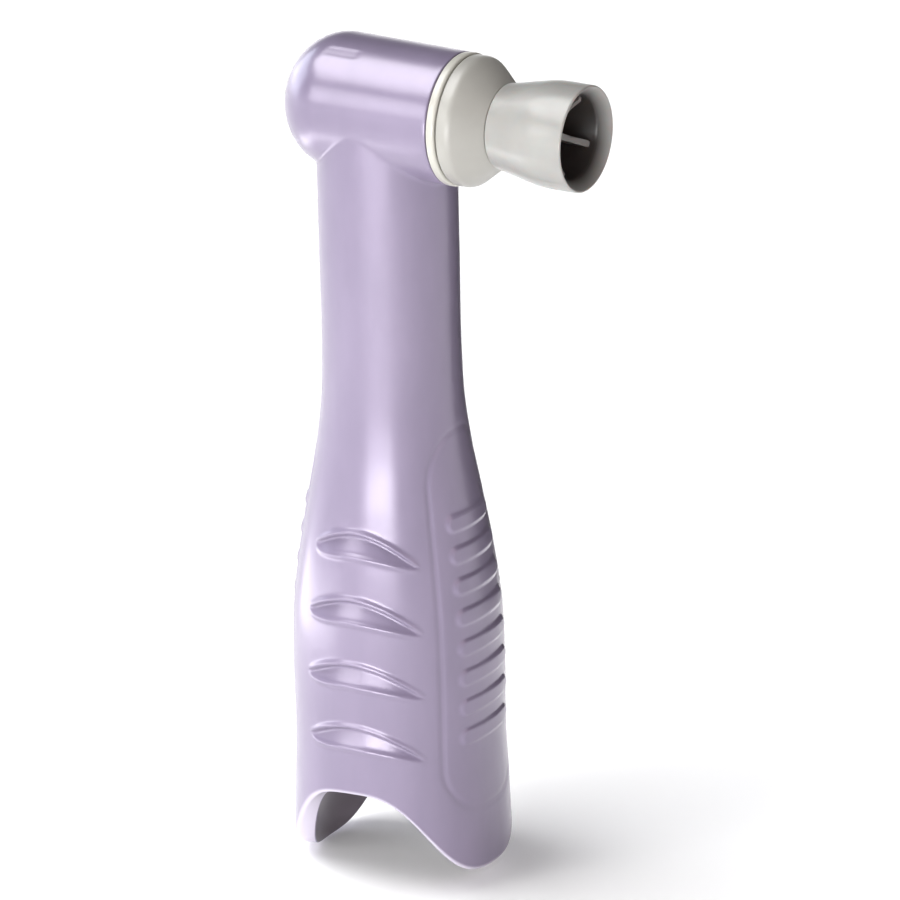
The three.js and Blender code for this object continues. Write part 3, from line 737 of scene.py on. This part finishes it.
PEARL = pearl_plastic()
IVORY = moulded(
    "ivory_cap_plastic",
    (0.43, 0.42, 0.375),
    (0.485, 0.472, 0.425),
    0.3,
    Coat_Weight=0.3,
    Coat_Roughness=0.12,
).material
HUB = moulded(
    "grey_hub_plastic",
    (0.305, 0.297, 0.273),
    (0.352, 0.342, 0.315),
    0.36,
    Coat_Weight=0.3,
    Coat_Roughness=0.32,
).material
RUBBER = cup_rubber()
ACETAL = moulded("acetal", (0.80, 0.79, 0.74), (0.87, 0.86, 0.81), 0.36).material
NYLON = moulded("gear_nylon", (0.74, 0.70, 0.58), (0.82, 0.78, 0.67), 0.42).material
SEAL = moulded("seal_rubber", (0.022, 0.021, 0.022), (0.04, 0.038, 0.04), 0.55).material
BRONZE = metal("bush_bronze", (0.36, 0.21, 0.08), (0.48, 0.30, 0.13), 0.38, (4, 4, 0.3))
STEEL = metal("ground_steel", (0.42, 0.43, 0.45), (0.56, 0.57, 0.60), 0.28, (4, 4, 0.3))

# ------------------------------------------------------------------------------------------
# Body shell
# ------------------------------------------------------------------------------------------


def station_curve(column):
    return smooth_through([(station[0] + HEAD_Z, station[column]) for station in STATIONS])


HALF_X = station_curve(1)
HALF_Y = station_curve(2)
SQUARENESS = station_curve(3)


def skin_radius(angle, z):
    """Distance of the plain outside from the drive axis."""
    power = SQUARENESS(z)
    across = np.abs(np.cos(angle) / HALF_X(z)) ** power + np.abs(np.sin(angle) / HALF_Y(z)) ** power
    return across ** (-1 / power)


def wave_height(angle):
    """Height of the skirt's lower edge."""
    c = np.cos(2 * angle)
    wave = (1 + WAVE_SHARPNESS) * c - WAVE_SHARPNESS * c**3
    return WAVE_MIDDLE - WAVE_HEIGHT * wave + WAVE_LEAN * np.cos(angle)


def turn_from(angle, face):
    """Signed angle from a face's middle."""
    return (angle - face + math.pi) % (2 * math.pi) - math.pi


def ridge(z, edge, inside, shape):
    """A low ridge along an edge, from its [rise, place above the edge, fade to the tips]."""
    rise, above, fade = shape
    return rise * inside**fade * np.exp(-(((z - edge - above) / GRIP_RIDGE_WIDTH) ** 2))


def grip_relief(angle, z):
    """The finger grips: under a raised lip the surface steps in, then ramps out to a raised lower edge."""
    relief = np.zeros_like(angle)
    ahead, behind, widest = GRIP_TAPER
    for side in (-1, 1):
        across = -side * turn_from(angle, side * math.pi / 2)  # positive towards +X
        s = (across - GRIP_TURN) / GRIP_HALF_ANGLE
        inside = np.clip(1 - s**2, 0, None)
        fullness = np.clip(1 - s, 0, None) ** ahead * np.clip(1 + s, 0, None) ** behind / widest
        for top in GRIP_TOPS:
            upper = top - GRIP_CURVE * (across - GRIP_PEAK_TURN) ** 2
            lower = upper - GRIP_HEIGHT * fullness
            down = (upper - z) / (upper - lower + GRIP_TIP)
            ramp = np.clip((down - GRIP_WALL) / (1 - GRIP_WALL), 0, 1)
            scoop = smoothstep(down, 0, GRIP_WALL) * (1 - ramp)
            relief -= GRIP_DEPTH * fullness**GRIP_DEPTH_FADE * scoop * (inside > 0)
            relief += ridge(z, upper, inside, GRIP_LIP)
            relief += ridge(z, lower, inside, GRIP_SILL)
    return relief


def panel_relief(angle, z):
    """The grooved outline and the raised bars on each X face."""
    relief = np.zeros_like(angle)
    middle = (PANEL_TOP + PANEL_BOTTOM) / 2
    half_height = (PANEL_TOP - PANEL_BOTTOM) / 2
    for face in (0, math.pi):
        u = turn_from(angle, face) * PANEL_R
        edge = rounded_box(u, z - middle, PANEL_HALF_WIDTH, half_height, PANEL_CORNER)
        relief -= GROOVE_DEPTH * np.exp(-((edge / GROOVE_WIDTH) ** 2))
        for i in range(BAR_COUNT):
            height = z - (BAR_TOP - i * BAR_PITCH)
            bar = rounded_box(u, height, BAR_HALF_WIDTH, BAR_HALF_HEIGHT, BAR_HALF_HEIGHT)
            relief += BAR_RISE * (1 - smoothstep(bar, -BAR_EDGE, BAR_EDGE))
    return relief


def ring_at(angles, radius, z):
    z = np.broadcast_to(z, angles.shape)
    radius = np.broadcast_to(radius, angles.shape)
    return np.stack([radius * np.cos(angles), radius * np.sin(angles), z], -1)


def outside_row(angles, z):
    return skin_radius(angles, z) + grip_relief(angles, z) + panel_relief(angles, z), z


def grip_loft():
    """The neck and grip, with the skirt's rounded lip and its inside wall, as one closed skin."""
    angles = np.arange(COLUMNS) * 2 * math.pi / COLUMNS
    wave = wave_height(angles)
    heights = list(np.arange(HEAD_Z - 0.5, CREASE_BOTTOM, -CREASE_ROW))
    heights += list(np.arange(CREASE_BOTTOM, PANEL_ROWS_TOP, -NECK_ROW))
    heights += list(np.arange(PANEL_ROWS_TOP, GRIP_ROWS_TOP, -PLAIN_ROW))
    heights += list(np.arange(GRIP_ROWS_TOP, WAVE_TOP, -GRIP_ROW))
    loops = [outside_row(angles, np.full_like(angles, height)) for height in heights]
    lower_rows = int((WAVE_TOP - wave.mean()) / WAVE_ROW)
    lip_top = wave + LIP_OUTER
    for i in range(lower_rows + 1):
        loops.append(outside_row(angles, WAVE_TOP + (i / lower_rows) * (lip_top - WAVE_TOP)))
    outer = skin_radius(angles, wave)
    for i in range(1, LIP_STEPS + 1):
        t = math.pi / 2 * i / LIP_STEPS
        loops.append((outer - LIP_OUTER * (1 - math.cos(t)), wave + LIP_OUTER * (1 - math.sin(t))))
    loops.append(((outer - LIP_OUTER + SKIRT_INNER_R + LIP_INNER) / 2, wave))
    for i in range(LIP_INNER_STEPS + 1):
        t = math.pi / 2 * i / LIP_INNER_STEPS
        radius = SKIRT_INNER_R + LIP_INNER * (1 - math.sin(t))
        loops.append((radius, wave + LIP_INNER * (1 - math.cos(t))))
    wall_start = wave + LIP_INNER
    ledge = np.maximum(SKIRT_STEP_Z, wave + LEDGE_CLEARANCE)
    below, along, above = LEDGE_CUT
    for i in range(1, SKIRT_WALL_ROWS + 1):
        share = i / SKIRT_WALL_ROWS
        loops.append((SKIRT_INNER_R, wall_start + share * (ledge - below - wall_start)))
    loops.append((SKIRT_UPPER_R + along, ledge))
    loops.append((SKIRT_UPPER_R, ledge + above))
    loops += SKIRT_PROFILE
    return skin("body_shell_look", [ring_at(angles, radius, z) for radius, z in loops])


def barrel_radius(x):
    """The barrel narrows a little from its dome to its mouth."""
    share = np.clip((x - DOME_START) / (BARREL_FRONT - DOME_START), 0, 1)
    return BARREL_R + share * (BARREL_MOUTH_R - BARREL_R)


def barrel():
    """The head barrel: domed back, rounded mouth and the small mark on top."""
    outline = []
    for i in range(1, DOME_STEPS + 1):
        t = math.pi / 2 * i / DOME_STEPS
        outline.append((BARREL_R * math.sin(t), DOME_START - DOME_LENGTH * math.cos(t)))
    for x in np.arange(DOME_START + BARREL_ROW, BARREL_FRONT - 2 * MOUTH_ROUNDING, BARREL_ROW):
        outline.append((barrel_radius(x), x))
    for i in range(MOUTH_STEPS + 1):
        t = math.pi / 2 * i / MOUTH_STEPS
        radius = BARREL_MOUTH_R - MOUTH_ROUNDING * (1 - math.cos(t))
        outline.append((radius, BARREL_FRONT - MOUTH_ROUNDING * (1 - math.sin(t))))
    outline = np.array(outline)
    turns = np.arange(BARREL_COLUMNS) * 2 * math.pi / BARREL_COLUMNS
    x = np.broadcast_to(outline[:, 1][:, None], (len(outline), BARREL_COLUMNS))
    turn = np.broadcast_to(turns, x.shape)
    across = BARREL_R * turn_from(turn, -MARK_TURN)
    middle, half = (MARK_X[0] + MARK_X[1]) / 2, (MARK_X[1] - MARK_X[0]) / 2
    mark = rounded_box(x - middle, across, half, MARK_HALF_WIDTH, MARK_CORNER)
    radius = outline[:, 0][:, None] - MARK_DEPTH * (1 - smoothstep(mark, -MARK_EDGE, MARK_EDGE))
    loops = np.stack([x, radius * np.sin(turn), HEAD_Z + radius * np.cos(turn)], -1)
    thing = skin("barrel", loops)
    face_outwards(thing)
    return thing


def unit(vectors):
    return vectors / (np.linalg.norm(vectors, axis=1, keepdims=True) + TINY)


def surface_distances(p):
    """How far each point lies outside the plain neck and outside the plain barrel."""
    angle = np.arctan2(p[:, 1], p[:, 0])
    neck = np.hypot(p[:, 0], p[:, 1]) - skin_radius(angle, np.minimum(p[:, 2], HEAD_Z))
    dome = np.clip(DOME_START - p[:, 0], 0, None) * BARREL_R / DOME_LENGTH
    head = np.sqrt(dome**2 + p[:, 1] ** 2 + (p[:, 2] - HEAD_Z) ** 2) - barrel_radius(p[:, 0])
    return neck, head


def outward_directions(p):
    """Which way is out of the neck and out of the barrel at each point."""
    dome = -np.clip(DOME_START - p[:, 0], 0, None)
    head = np.stack([dome, p[:, 1], p[:, 2] - HEAD_Z], -1)
    return unit(p * [1, 1, 0]), unit(head)


def soften_crease(thing):
    """Moves the points near the line where neck and barrel meet out onto a smooth blend of the two."""
    points = coordinates(thing)
    neck, head = surface_distances(points)
    out_neck, out_head = outward_directions(points)
    facing = np.einsum("ij,ij->i", out_neck, out_head)
    blend = CREASE_BLEND * np.sqrt(np.clip(1 - facing**2, 0, 1)) + 1e-4
    near = (np.abs(neck - head) < blend) & (points[:, 2] < HEAD_Z) & (points[:, 2] > CREASE_BOTTOM)
    near &= np.maximum(neck, head) > -1e-3
    near &= np.minimum(np.abs(neck), np.abs(head)) < ON_SURFACE
    for _ in range(CREASE_PASSES):
        neck, head = surface_distances(points)
        out_neck, out_head = outward_directions(points)
        share = np.clip(0.5 + 0.5 * (head - neck) / blend, 0, 1)[:, None]
        gap = np.minimum(neck, head) - 0.25 * np.clip(blend - np.abs(neck - head), 0, None) ** 2 / blend
        way = unit(share * out_neck + (1 - share) * out_head)
        points = np.where(near[:, None], points - gap[:, None] * way * CREASE_STEP, points)
    move_points(thing, points)


def radial_bar(section, near, far, turn):
    """A bar with this [across, height] section that runs outwards from the drive axis, from near to far."""
    loops = []
    for radius in (near, far):
        loop = []
        for across, z in section:
            x = radius * math.cos(turn) - across * math.sin(turn)
            y = radius * math.sin(turn) + across * math.cos(turn)
            loop.append((x, y, z))
        loops.append(loop)
    bar = skin("bar", loops)
    face_outwards(bar)
    return bar


def slot_section(width, low, high):
    half = width / 2
    return [(-half, high), (-half, low), (half, low), (half, high)]


def skirt_rib(turn):
    """One rib inside the skirt, with rounded lower edges."""
    top = SKIRT_PROFILE[-1][1] + 0.5
    half = RIB_WIDTH / 2
    near = RIB_ROUNDING * RIB_CORNER
    section = [(-half, top), (-half, RIB_BOTTOM + RIB_ROUNDING), (-half + near, RIB_BOTTOM + near)]
    section.append((-half + RIB_ROUNDING, RIB_BOTTOM))
    section += [(-across, z) for across, z in reversed(section)]
    return radial_bar(section, RIB_INNER_R, RIB_OUTER_R, turn)


def body_shell():
    shell = grip_loft()
    face_outwards(shell)
    combine(shell, "UNION", barrel())
    soften_crease(shell)
    for i in range(RIB_COUNT):
        combine(shell, "UNION", skirt_rib(RIB_TURN + i * 2 * math.pi / RIB_COUNT))
    combine(shell, "DIFFERENCE", stepped_bore("head_bore", HEAD_BORE, X))
    combine(shell, "DIFFERENCE", stepped_bore("neck_bore", NECK_BORE, Z))
    shade(shell, 70)
    points = coordinates(shell)
    radius = np.hypot(points[:, 0], points[:, 1])
    angle = np.arctan2(points[:, 1], points[:, 0])
    # painted shade inside the skirt and the bore, below the crease
    inside = np.minimum(skin_radius(angle, points[:, 2]) - INSIDE_DEPTH, SKIRT_INNER_R + ON_SURFACE)
    paint(shell, "inside", (radius < inside) & (points[:, 2] < CREASE_BOTTOM))
    # painted highlight along the rounded lip of the skirt's lower edge
    above_edge = points[:, 2] - wave_height(angle)
    lip_highlight = 1 - smoothstep(above_edge, LIP_WALL, LIP_OUTER)
    paint(shell, "lip", lip_highlight * (radius > SKIRT_INNER_R + LIP_WALL))
    place(shell, "housing", "body_shell", "shell_plastic", PEARL)


body_shell()

# ------------------------------------------------------------------------------------------
# Head cap, hub and cup
# ------------------------------------------------------------------------------------------


def head_cap():
    """The thin rim that shows, its plug in the barrel, the rubber ring's groove and the bush's pocket."""
    back, front = span("head_cap", X)
    outer = span("head_cap", Y)[1]
    ring_back, ring_front = span("head_cap_seal", X)
    pocket = span("front_bush", Y)[1] + SNUG
    pocket_front = span("front_bush", X)[1]
    rim = BARREL_FRONT + 0.05
    corners = [
        (pocket, back, EDGE),
        (CAP_PLUG_R - 0.25, back, EDGE),
        (CAP_PLUG_R, back + 0.25, EDGE),
        (CAP_PLUG_R, ring_back - SNUG),
        (CAP_GROOVE_R, ring_back - SNUG),
        (CAP_GROOVE_R, ring_front + SNUG),
        (CAP_PLUG_R, ring_front + SNUG),
        (CAP_PLUG_R, rim),
        (outer, rim, 0.12),
        (outer, front, 0.2),
        (CAP_GROOVE_R, front, EDGE),
        (CAP_GROOVE_R, pocket_front),
        (pocket, pocket_front),
    ]
    cap = turned("head_cap_look", corners, X, 160, ring=True)
    shade(cap)
    place(cap, "housing", "head_cap", "cap_plastic", IVORY)


def rotor_hub():
    back, front = span("rotor_hub", X)
    outer = span("rotor_hub", Y)[1]
    bore = SPINDLE_R + SNUG
    corners = [
        (bore, back),
        (outer, back, 0.14),
        (outer, HUB_CONE_X, 0.3),
        (HUB_NOSE_R, front, 0.06),
        (bore, front),
    ]
    hub = turned("rotor_hub_look", corners, X, 160, ring=True)
    shade(hub)
    place(hub, "rotor", "rotor_hub", "hub_plastic", HUB)


def cup_web(turn):
    """One web across the bowl's corner: a plate with a hollow, rounded front edge."""
    root = BOWL_FLOOR - 0.25
    outline = [(WEB_MIDDLE_R, root), (BOWL_FLOOR_R + 0.3, root), (BOWL_LIP_R + 0.25, BOWL_LIP_X - 0.35)]
    start = np.array((BOWL_LIP_R - 0.3, BOWL_LIP_X - 0.3))
    pull = np.array((1.5, WEB_MIDDLE + 0.2))
    end = np.array((WEB_MIDDLE_R, WEB_MIDDLE))
    for i in range(WEB_STEPS + 1):
        t = i / WEB_STEPS
        outline.append(tuple((1 - t) ** 2 * start + 2 * t * (1 - t) * pull + t**2 * end))
    outline = np.array(outline)
    toward_middle = unit(outline.mean(0) - outline)
    loops = []
    for share, inset in WEB_SECTION:
        r, x = (outline + toward_middle * inset).T
        side = share * WEB_WIDTH
        y = r * math.cos(turn) - side * math.sin(turn)
        z = r * math.sin(turn) + side * math.cos(turn)
        loops.append(np.stack([x, y, HEAD_Z + z], -1))
    web = skin("web", loops)
    face_outwards(web)
    return web


def polishing_cup():
    button_back, button_front = span("cup_button", X)
    head_back = button_back + STEM_LENGTH
    head_r = span("cup_button", Y)[1] + CUP_GAP
    pocket_end = button_front + CUP_GAP
    corners = [
        (0, BOWL_FLOOR),
        (0.05, BOWL_FLOOR),
        (BOWL_FLOOR_R - 0.4, BOWL_FLOOR, 0.3),
        (BOWL_FLOOR_R, BOWL_FLOOR + 0.35, 0.3),
        (BOWL_LIP_R, BOWL_LIP_X, 0.12),
        *((radius, CUP_RIM - behind, rounding) for radius, behind, rounding in CUP_OUTSIDE),
        (CUP_BACK_R, CUP_BACK, 0.05),
        (STEM_R + CUP_GAP, CUP_BACK, 0.05),
        (STEM_R + CUP_GAP, head_back - CUP_GAP),
        (head_r, head_back - CUP_GAP),
        (head_r, head_back + 0.4),
        (head_r - 0.36, pocket_end),
        (0.05, pocket_end),
        (0, pocket_end),
    ]
    cup = turned("polishing_cup_look", corners, X, 192, 6)
    for i in range(WEB_COUNT):
        combine(cup, "UNION", cup_web(WEB_TURN + i * 2 * math.pi / WEB_COUNT))
    shade(cup)
    # painted shade deep in the bowl, fading up its lip and weaker on the webs
    points = coordinates(cup)
    radius = np.hypot(points[:, 1], points[:, 2] - HEAD_Z)
    share = np.clip((points[:, 0] - BOWL_FLOOR) / (BOWL_LIP_X - BOWL_FLOOR), 0, 1)
    wall = BOWL_FLOOR_R + share * (BOWL_LIP_R - BOWL_FLOOR_R)
    in_bowl = (radius < wall + BOWL_SHADE) & (points[:, 0] > BOWL_FLOOR - 0.1)
    depth = smoothstep(BOWL_LIP_X + BOWL_SHADE - points[:, 0], 0, 0.25)
    angle = np.arctan2(points[:, 2] - HEAD_Z, points[:, 1])
    from_web = np.abs(turn_from(angle * WEB_COUNT, WEB_TURN * WEB_COUNT)) / WEB_COUNT * radius
    on_web = (from_web < WEB_WIDTH * 0.55) & (radius < wall - 0.1) & (radius > 0.3)
    paint(cup, "hollow", in_bowl * depth * np.where(on_web, WEB_SHADE, 1.0))
    place(cup, "rotor", "polishing_cup", "cup_rubber", RUBBER)


head_cap()
rotor_hub()
polishing_cup()

# ------------------------------------------------------------------------------------------
# Turned pieces inside
# ------------------------------------------------------------------------------------------


def turned_piece(node, body, axis, slot, finish, corners, ring=True, cuts=()):
    thing = turned(node + "_look", corners, axis, 96, 4, ring)
    for cut in cuts:
        combine(thing, "DIFFERENCE", cut)
    shade(thing)
    place(thing, body, node, slot, finish)


def plain_ring(node, body, axis, slot, finish, inner):
    """A bush or washer as wide and as long as its CAD node, with rounded edges."""
    low, high = span(node, axis)
    outer = span(node, Y)[1]
    corners = [(inner, low, EDGE), (outer, low, EDGE), (outer, high, EDGE), (inner, high, EDGE)]
    turned_piece(node, body, axis, slot, finish, corners)


def round_ring(node, axis):
    """A rubber ring of round section."""
    low, high = span(node, axis)
    section = (high - low) / 2
    middle = span(node, Y)[1] - section
    corners = []
    for i in range(20):
        turn = -2 * math.pi * i / 20
        corners.append((middle + section * math.cos(turn), low + section + section * math.sin(turn)))
    turned_piece(node, "housing", axis, "seal_rubber", SEAL, corners)


def flanged_bush():
    low, high = span("lower_shaft_bush", Z)
    inner, outer, flange_top = SHAFT_R + RUNNING, NECK_BORE[1][0] - SNUG, low + FLANGE_THICKNESS
    corners = [
        (inner, low, EDGE),
        (SLEEVE_R, low, EDGE),
        (SLEEVE_R, flange_top, EDGE),
        (outer, flange_top, EDGE),
        (outer, high, EDGE),
        (inner, high, EDGE),
    ]
    turned_piece("lower_shaft_bush", "housing", Z, "bush_bronze", BRONZE, corners)


def shaft_seal():
    low, high = span("shaft_seal", Z)
    outer = span("shaft_seal", Y)[1]
    lip = SHAFT_R + RUNNING
    wall = 0.6
    groove = high - 0.4
    corners = [
        (lip, low + 0.2, EDGE),
        (lip + 0.35, low, EDGE),
        (lip + wall, groove, EDGE),
        (outer - wall, groove, EDGE),
        (outer - wall, low, EDGE),
        (outer, low, EDGE),
        (outer, high, EDGE),
        (lip, high, EDGE),
    ]
    turned_piece("shaft_seal", "housing", Z, "seal_rubber", SEAL, corners)


def nose_sleeve():
    """The liner that grips the handpiece's nose, with four slots and a groove for its rubber ring."""
    low, high = span("nose_sleeve", Z)
    ring_low, ring_high = span("grip_ring", Z)
    groove_r = span("grip_ring", Y)[1] + SNUG
    corners = [
        (NOSE_BORE_R, low, 0.3),
        (SLEEVE_R, low, 0.2),
        (SLEEVE_R, high, EDGE),
        (NOSE_BORE_R, high, EDGE),
        (NOSE_BORE_R, ring_high + SNUG, EDGE),
        (groove_r, ring_high + SNUG, EDGE),
        (groove_r, ring_low - SNUG, EDGE),
        (NOSE_BORE_R, ring_low - SNUG, EDGE),
    ]
    section = slot_section(SLEEVE_SLOT_WIDTH, low - 1, SLEEVE_SLOT_TOP)
    cuts = []
    for i in range(SLEEVE_SLOTS):
        cuts.append(radial_bar(section, 0, SLEEVE_R + 1, (i + 0.5) * 2 * math.pi / SLEEVE_SLOTS))
    turned_piece("nose_sleeve", "housing", Z, "acetal", ACETAL, corners, cuts=cuts)


def drive_shaft():
    low, high = span("drive_shaft", Z)
    clip_low, clip_high = span("shaft_clip", Z)
    gear_back = span("drive_gear", Z)[0]
    corners = [
        (0, low),
        (SHAFT_R - 0.2, low, EDGE),
        (SHAFT_R, low + 0.3, EDGE),
        (SHAFT_R, clip_low - RUNNING, EDGE),
        (CLIP_GROOVE_R, clip_low - RUNNING),
        (CLIP_GROOVE_R, clip_high + RUNNING),
        (SHAFT_R, clip_high + RUNNING, EDGE),
        (SHAFT_R, gear_back - RUNNING, EDGE),
        (SHAFT_TOP_R, gear_back - RUNNING),
        (SHAFT_TOP_R, high - 0.2, EDGE),
        (SHAFT_TOP_R - 0.2, high, EDGE),
        (0, high),
    ]
    turned_piece("drive_shaft", "drive", Z, "stainless", STEEL, corners, ring=False)


def drive_dog():
    """The forked ferrule that the handpiece's chuck drives."""
    low, high = span("drive_dog", Z)
    bore = SHAFT_R + SNUG
    corners = [
        (bore, low + 1.2),
        (DOG_MOUTH_R, low + 0.5, EDGE),
        (DOG_MOUTH_R, low, EDGE),
        (DOG_R - 0.25, low, 0.1),
        (DOG_R, low + 0.4, 0.2),
        (DOG_R, high - 0.5, 0.2),
        (SHAFT_R + 0.3, high, EDGE),
        (bore, high, EDGE),
    ]
    section = slot_section(DOG_SLOT, low - 1, low + DOG_SLOT_DEPTH)
    slot = radial_bar(section, -DOG_R - 1, DOG_R + 1, 0)
    turned_piece("drive_dog", "drive", Z, "gear_nylon", NYLON, corners, cuts=[slot])


def shaft_clip():
    low, high = span("shaft_clip", Z)
    outer = span("shaft_clip", Y)[1]
    inner = CLIP_GROOVE_R + SNUG
    corners = [(inner, low, EDGE), (outer, low, EDGE), (outer, high, EDGE), (inner, high, EDGE)]
    opening = radial_bar(slot_section(CLIP_OPENING, low - 1, high + 1), 0, outer + 1, 0)
    turned_piece("shaft_clip", "drive", Z, "stainless", STEEL, corners, cuts=[opening])


def rotor_spindle():
    low, high = span("rotor_spindle", X)
    collar_low, collar_high = COLLAR_X
    stud = span("rotor_hub", X)[1] - 0.3
    corners = [
        (0, low),
        (PIVOT_R - 0.15, low, EDGE),
        (PIVOT_R, low + 0.2, EDGE),
        (PIVOT_R, collar_low),
        (COLLAR_R, collar_low, EDGE),
        (COLLAR_R, collar_high, EDGE),
        (PIVOT_R, collar_high),
        (PIVOT_R, GEAR_SEAT_X),
        (SPINDLE_R, GEAR_SEAT_X, EDGE),
        (SPINDLE_R, stud, EDGE),
        (STUD_R, stud),
        (STUD_R, high, EDGE),
        (0, high),
    ]
    turned_piece("rotor_spindle", "rotor", X, "stainless", STEEL, corners, ring=False)


def rotor_seal():
    low, high = span("rotor_seal", X)
    outer = span("rotor_seal", Y)[1]
    inner = SPINDLE_R + 2 * RUNNING
    corners = [
        (inner, low, EDGE),
        (outer, low, EDGE),
        (outer, high - 0.12, EDGE),
        (outer - 0.5, high, EDGE),
        (inner + 0.3, high, EDGE),
        (inner, high - 0.12, EDGE),
    ]
    turned_piece("rotor_seal", "rotor", X, "seal_rubber", SEAL, corners)


def cup_button():
    low, high = span("cup_button", X)
    outer = span("cup_button", Y)[1]
    bore, bore_end, head_back = STUD_R + SNUG, high - 0.4, low + STEM_LENGTH
    corners = [
        (0, bore_end),
        (bore, bore_end, EDGE),
        (bore, low, EDGE),
        (STEM_R, low, EDGE),
        (STEM_R, head_back, EDGE),
        (outer, head_back, EDGE),
        (outer, head_back + 0.35, EDGE),
        (outer - 0.35, high, EDGE),
        (0, high),
    ]
    turned_piece("cup_button", "rotor", X, "acetal", ACETAL, corners, ring=False)


plain_ring("rear_bush", "housing", X, "bush_bronze", BRONZE, PIVOT_R + RUNNING)
plain_ring("front_bush", "housing", X, "bush_bronze", BRONZE, SPINDLE_R + RUNNING)
plain_ring("upper_shaft_bush", "housing", Z, "bush_bronze", BRONZE, SHAFT_R + RUNNING)
plain_ring("upper_thrust_washer", "drive", Z, "stainless", STEEL, SHAFT_R + RUNNING)
plain_ring("lower_thrust_washer", "drive", Z, "stainless", STEEL, SHAFT_R + RUNNING)
plain_ring("rear_thrust_washer", "rotor", X, "stainless", STEEL, PIVOT_R + RUNNING)
plain_ring("front_thrust_washer", "rotor", X, "stainless", STEEL, SPINDLE_R + RUNNING)
round_ring("head_cap_seal", X)
round_ring("grip_ring", Z)
flanged_bush()
shaft_seal()
nose_sleeve()
drive_shaft()
drive_dog()
shaft_clip()
rotor_spindle()
rotor_seal()
cup_button()

# ------------------------------------------------------------------------------------------
# CAD nodes that stay
# ------------------------------------------------------------------------------------------


def finish_gears():
    for node in ("drive_gear", "driven_gear"):
        for slot in frame["nodes"][node].material_slots:
            slot.material = NYLON


finish_gears()
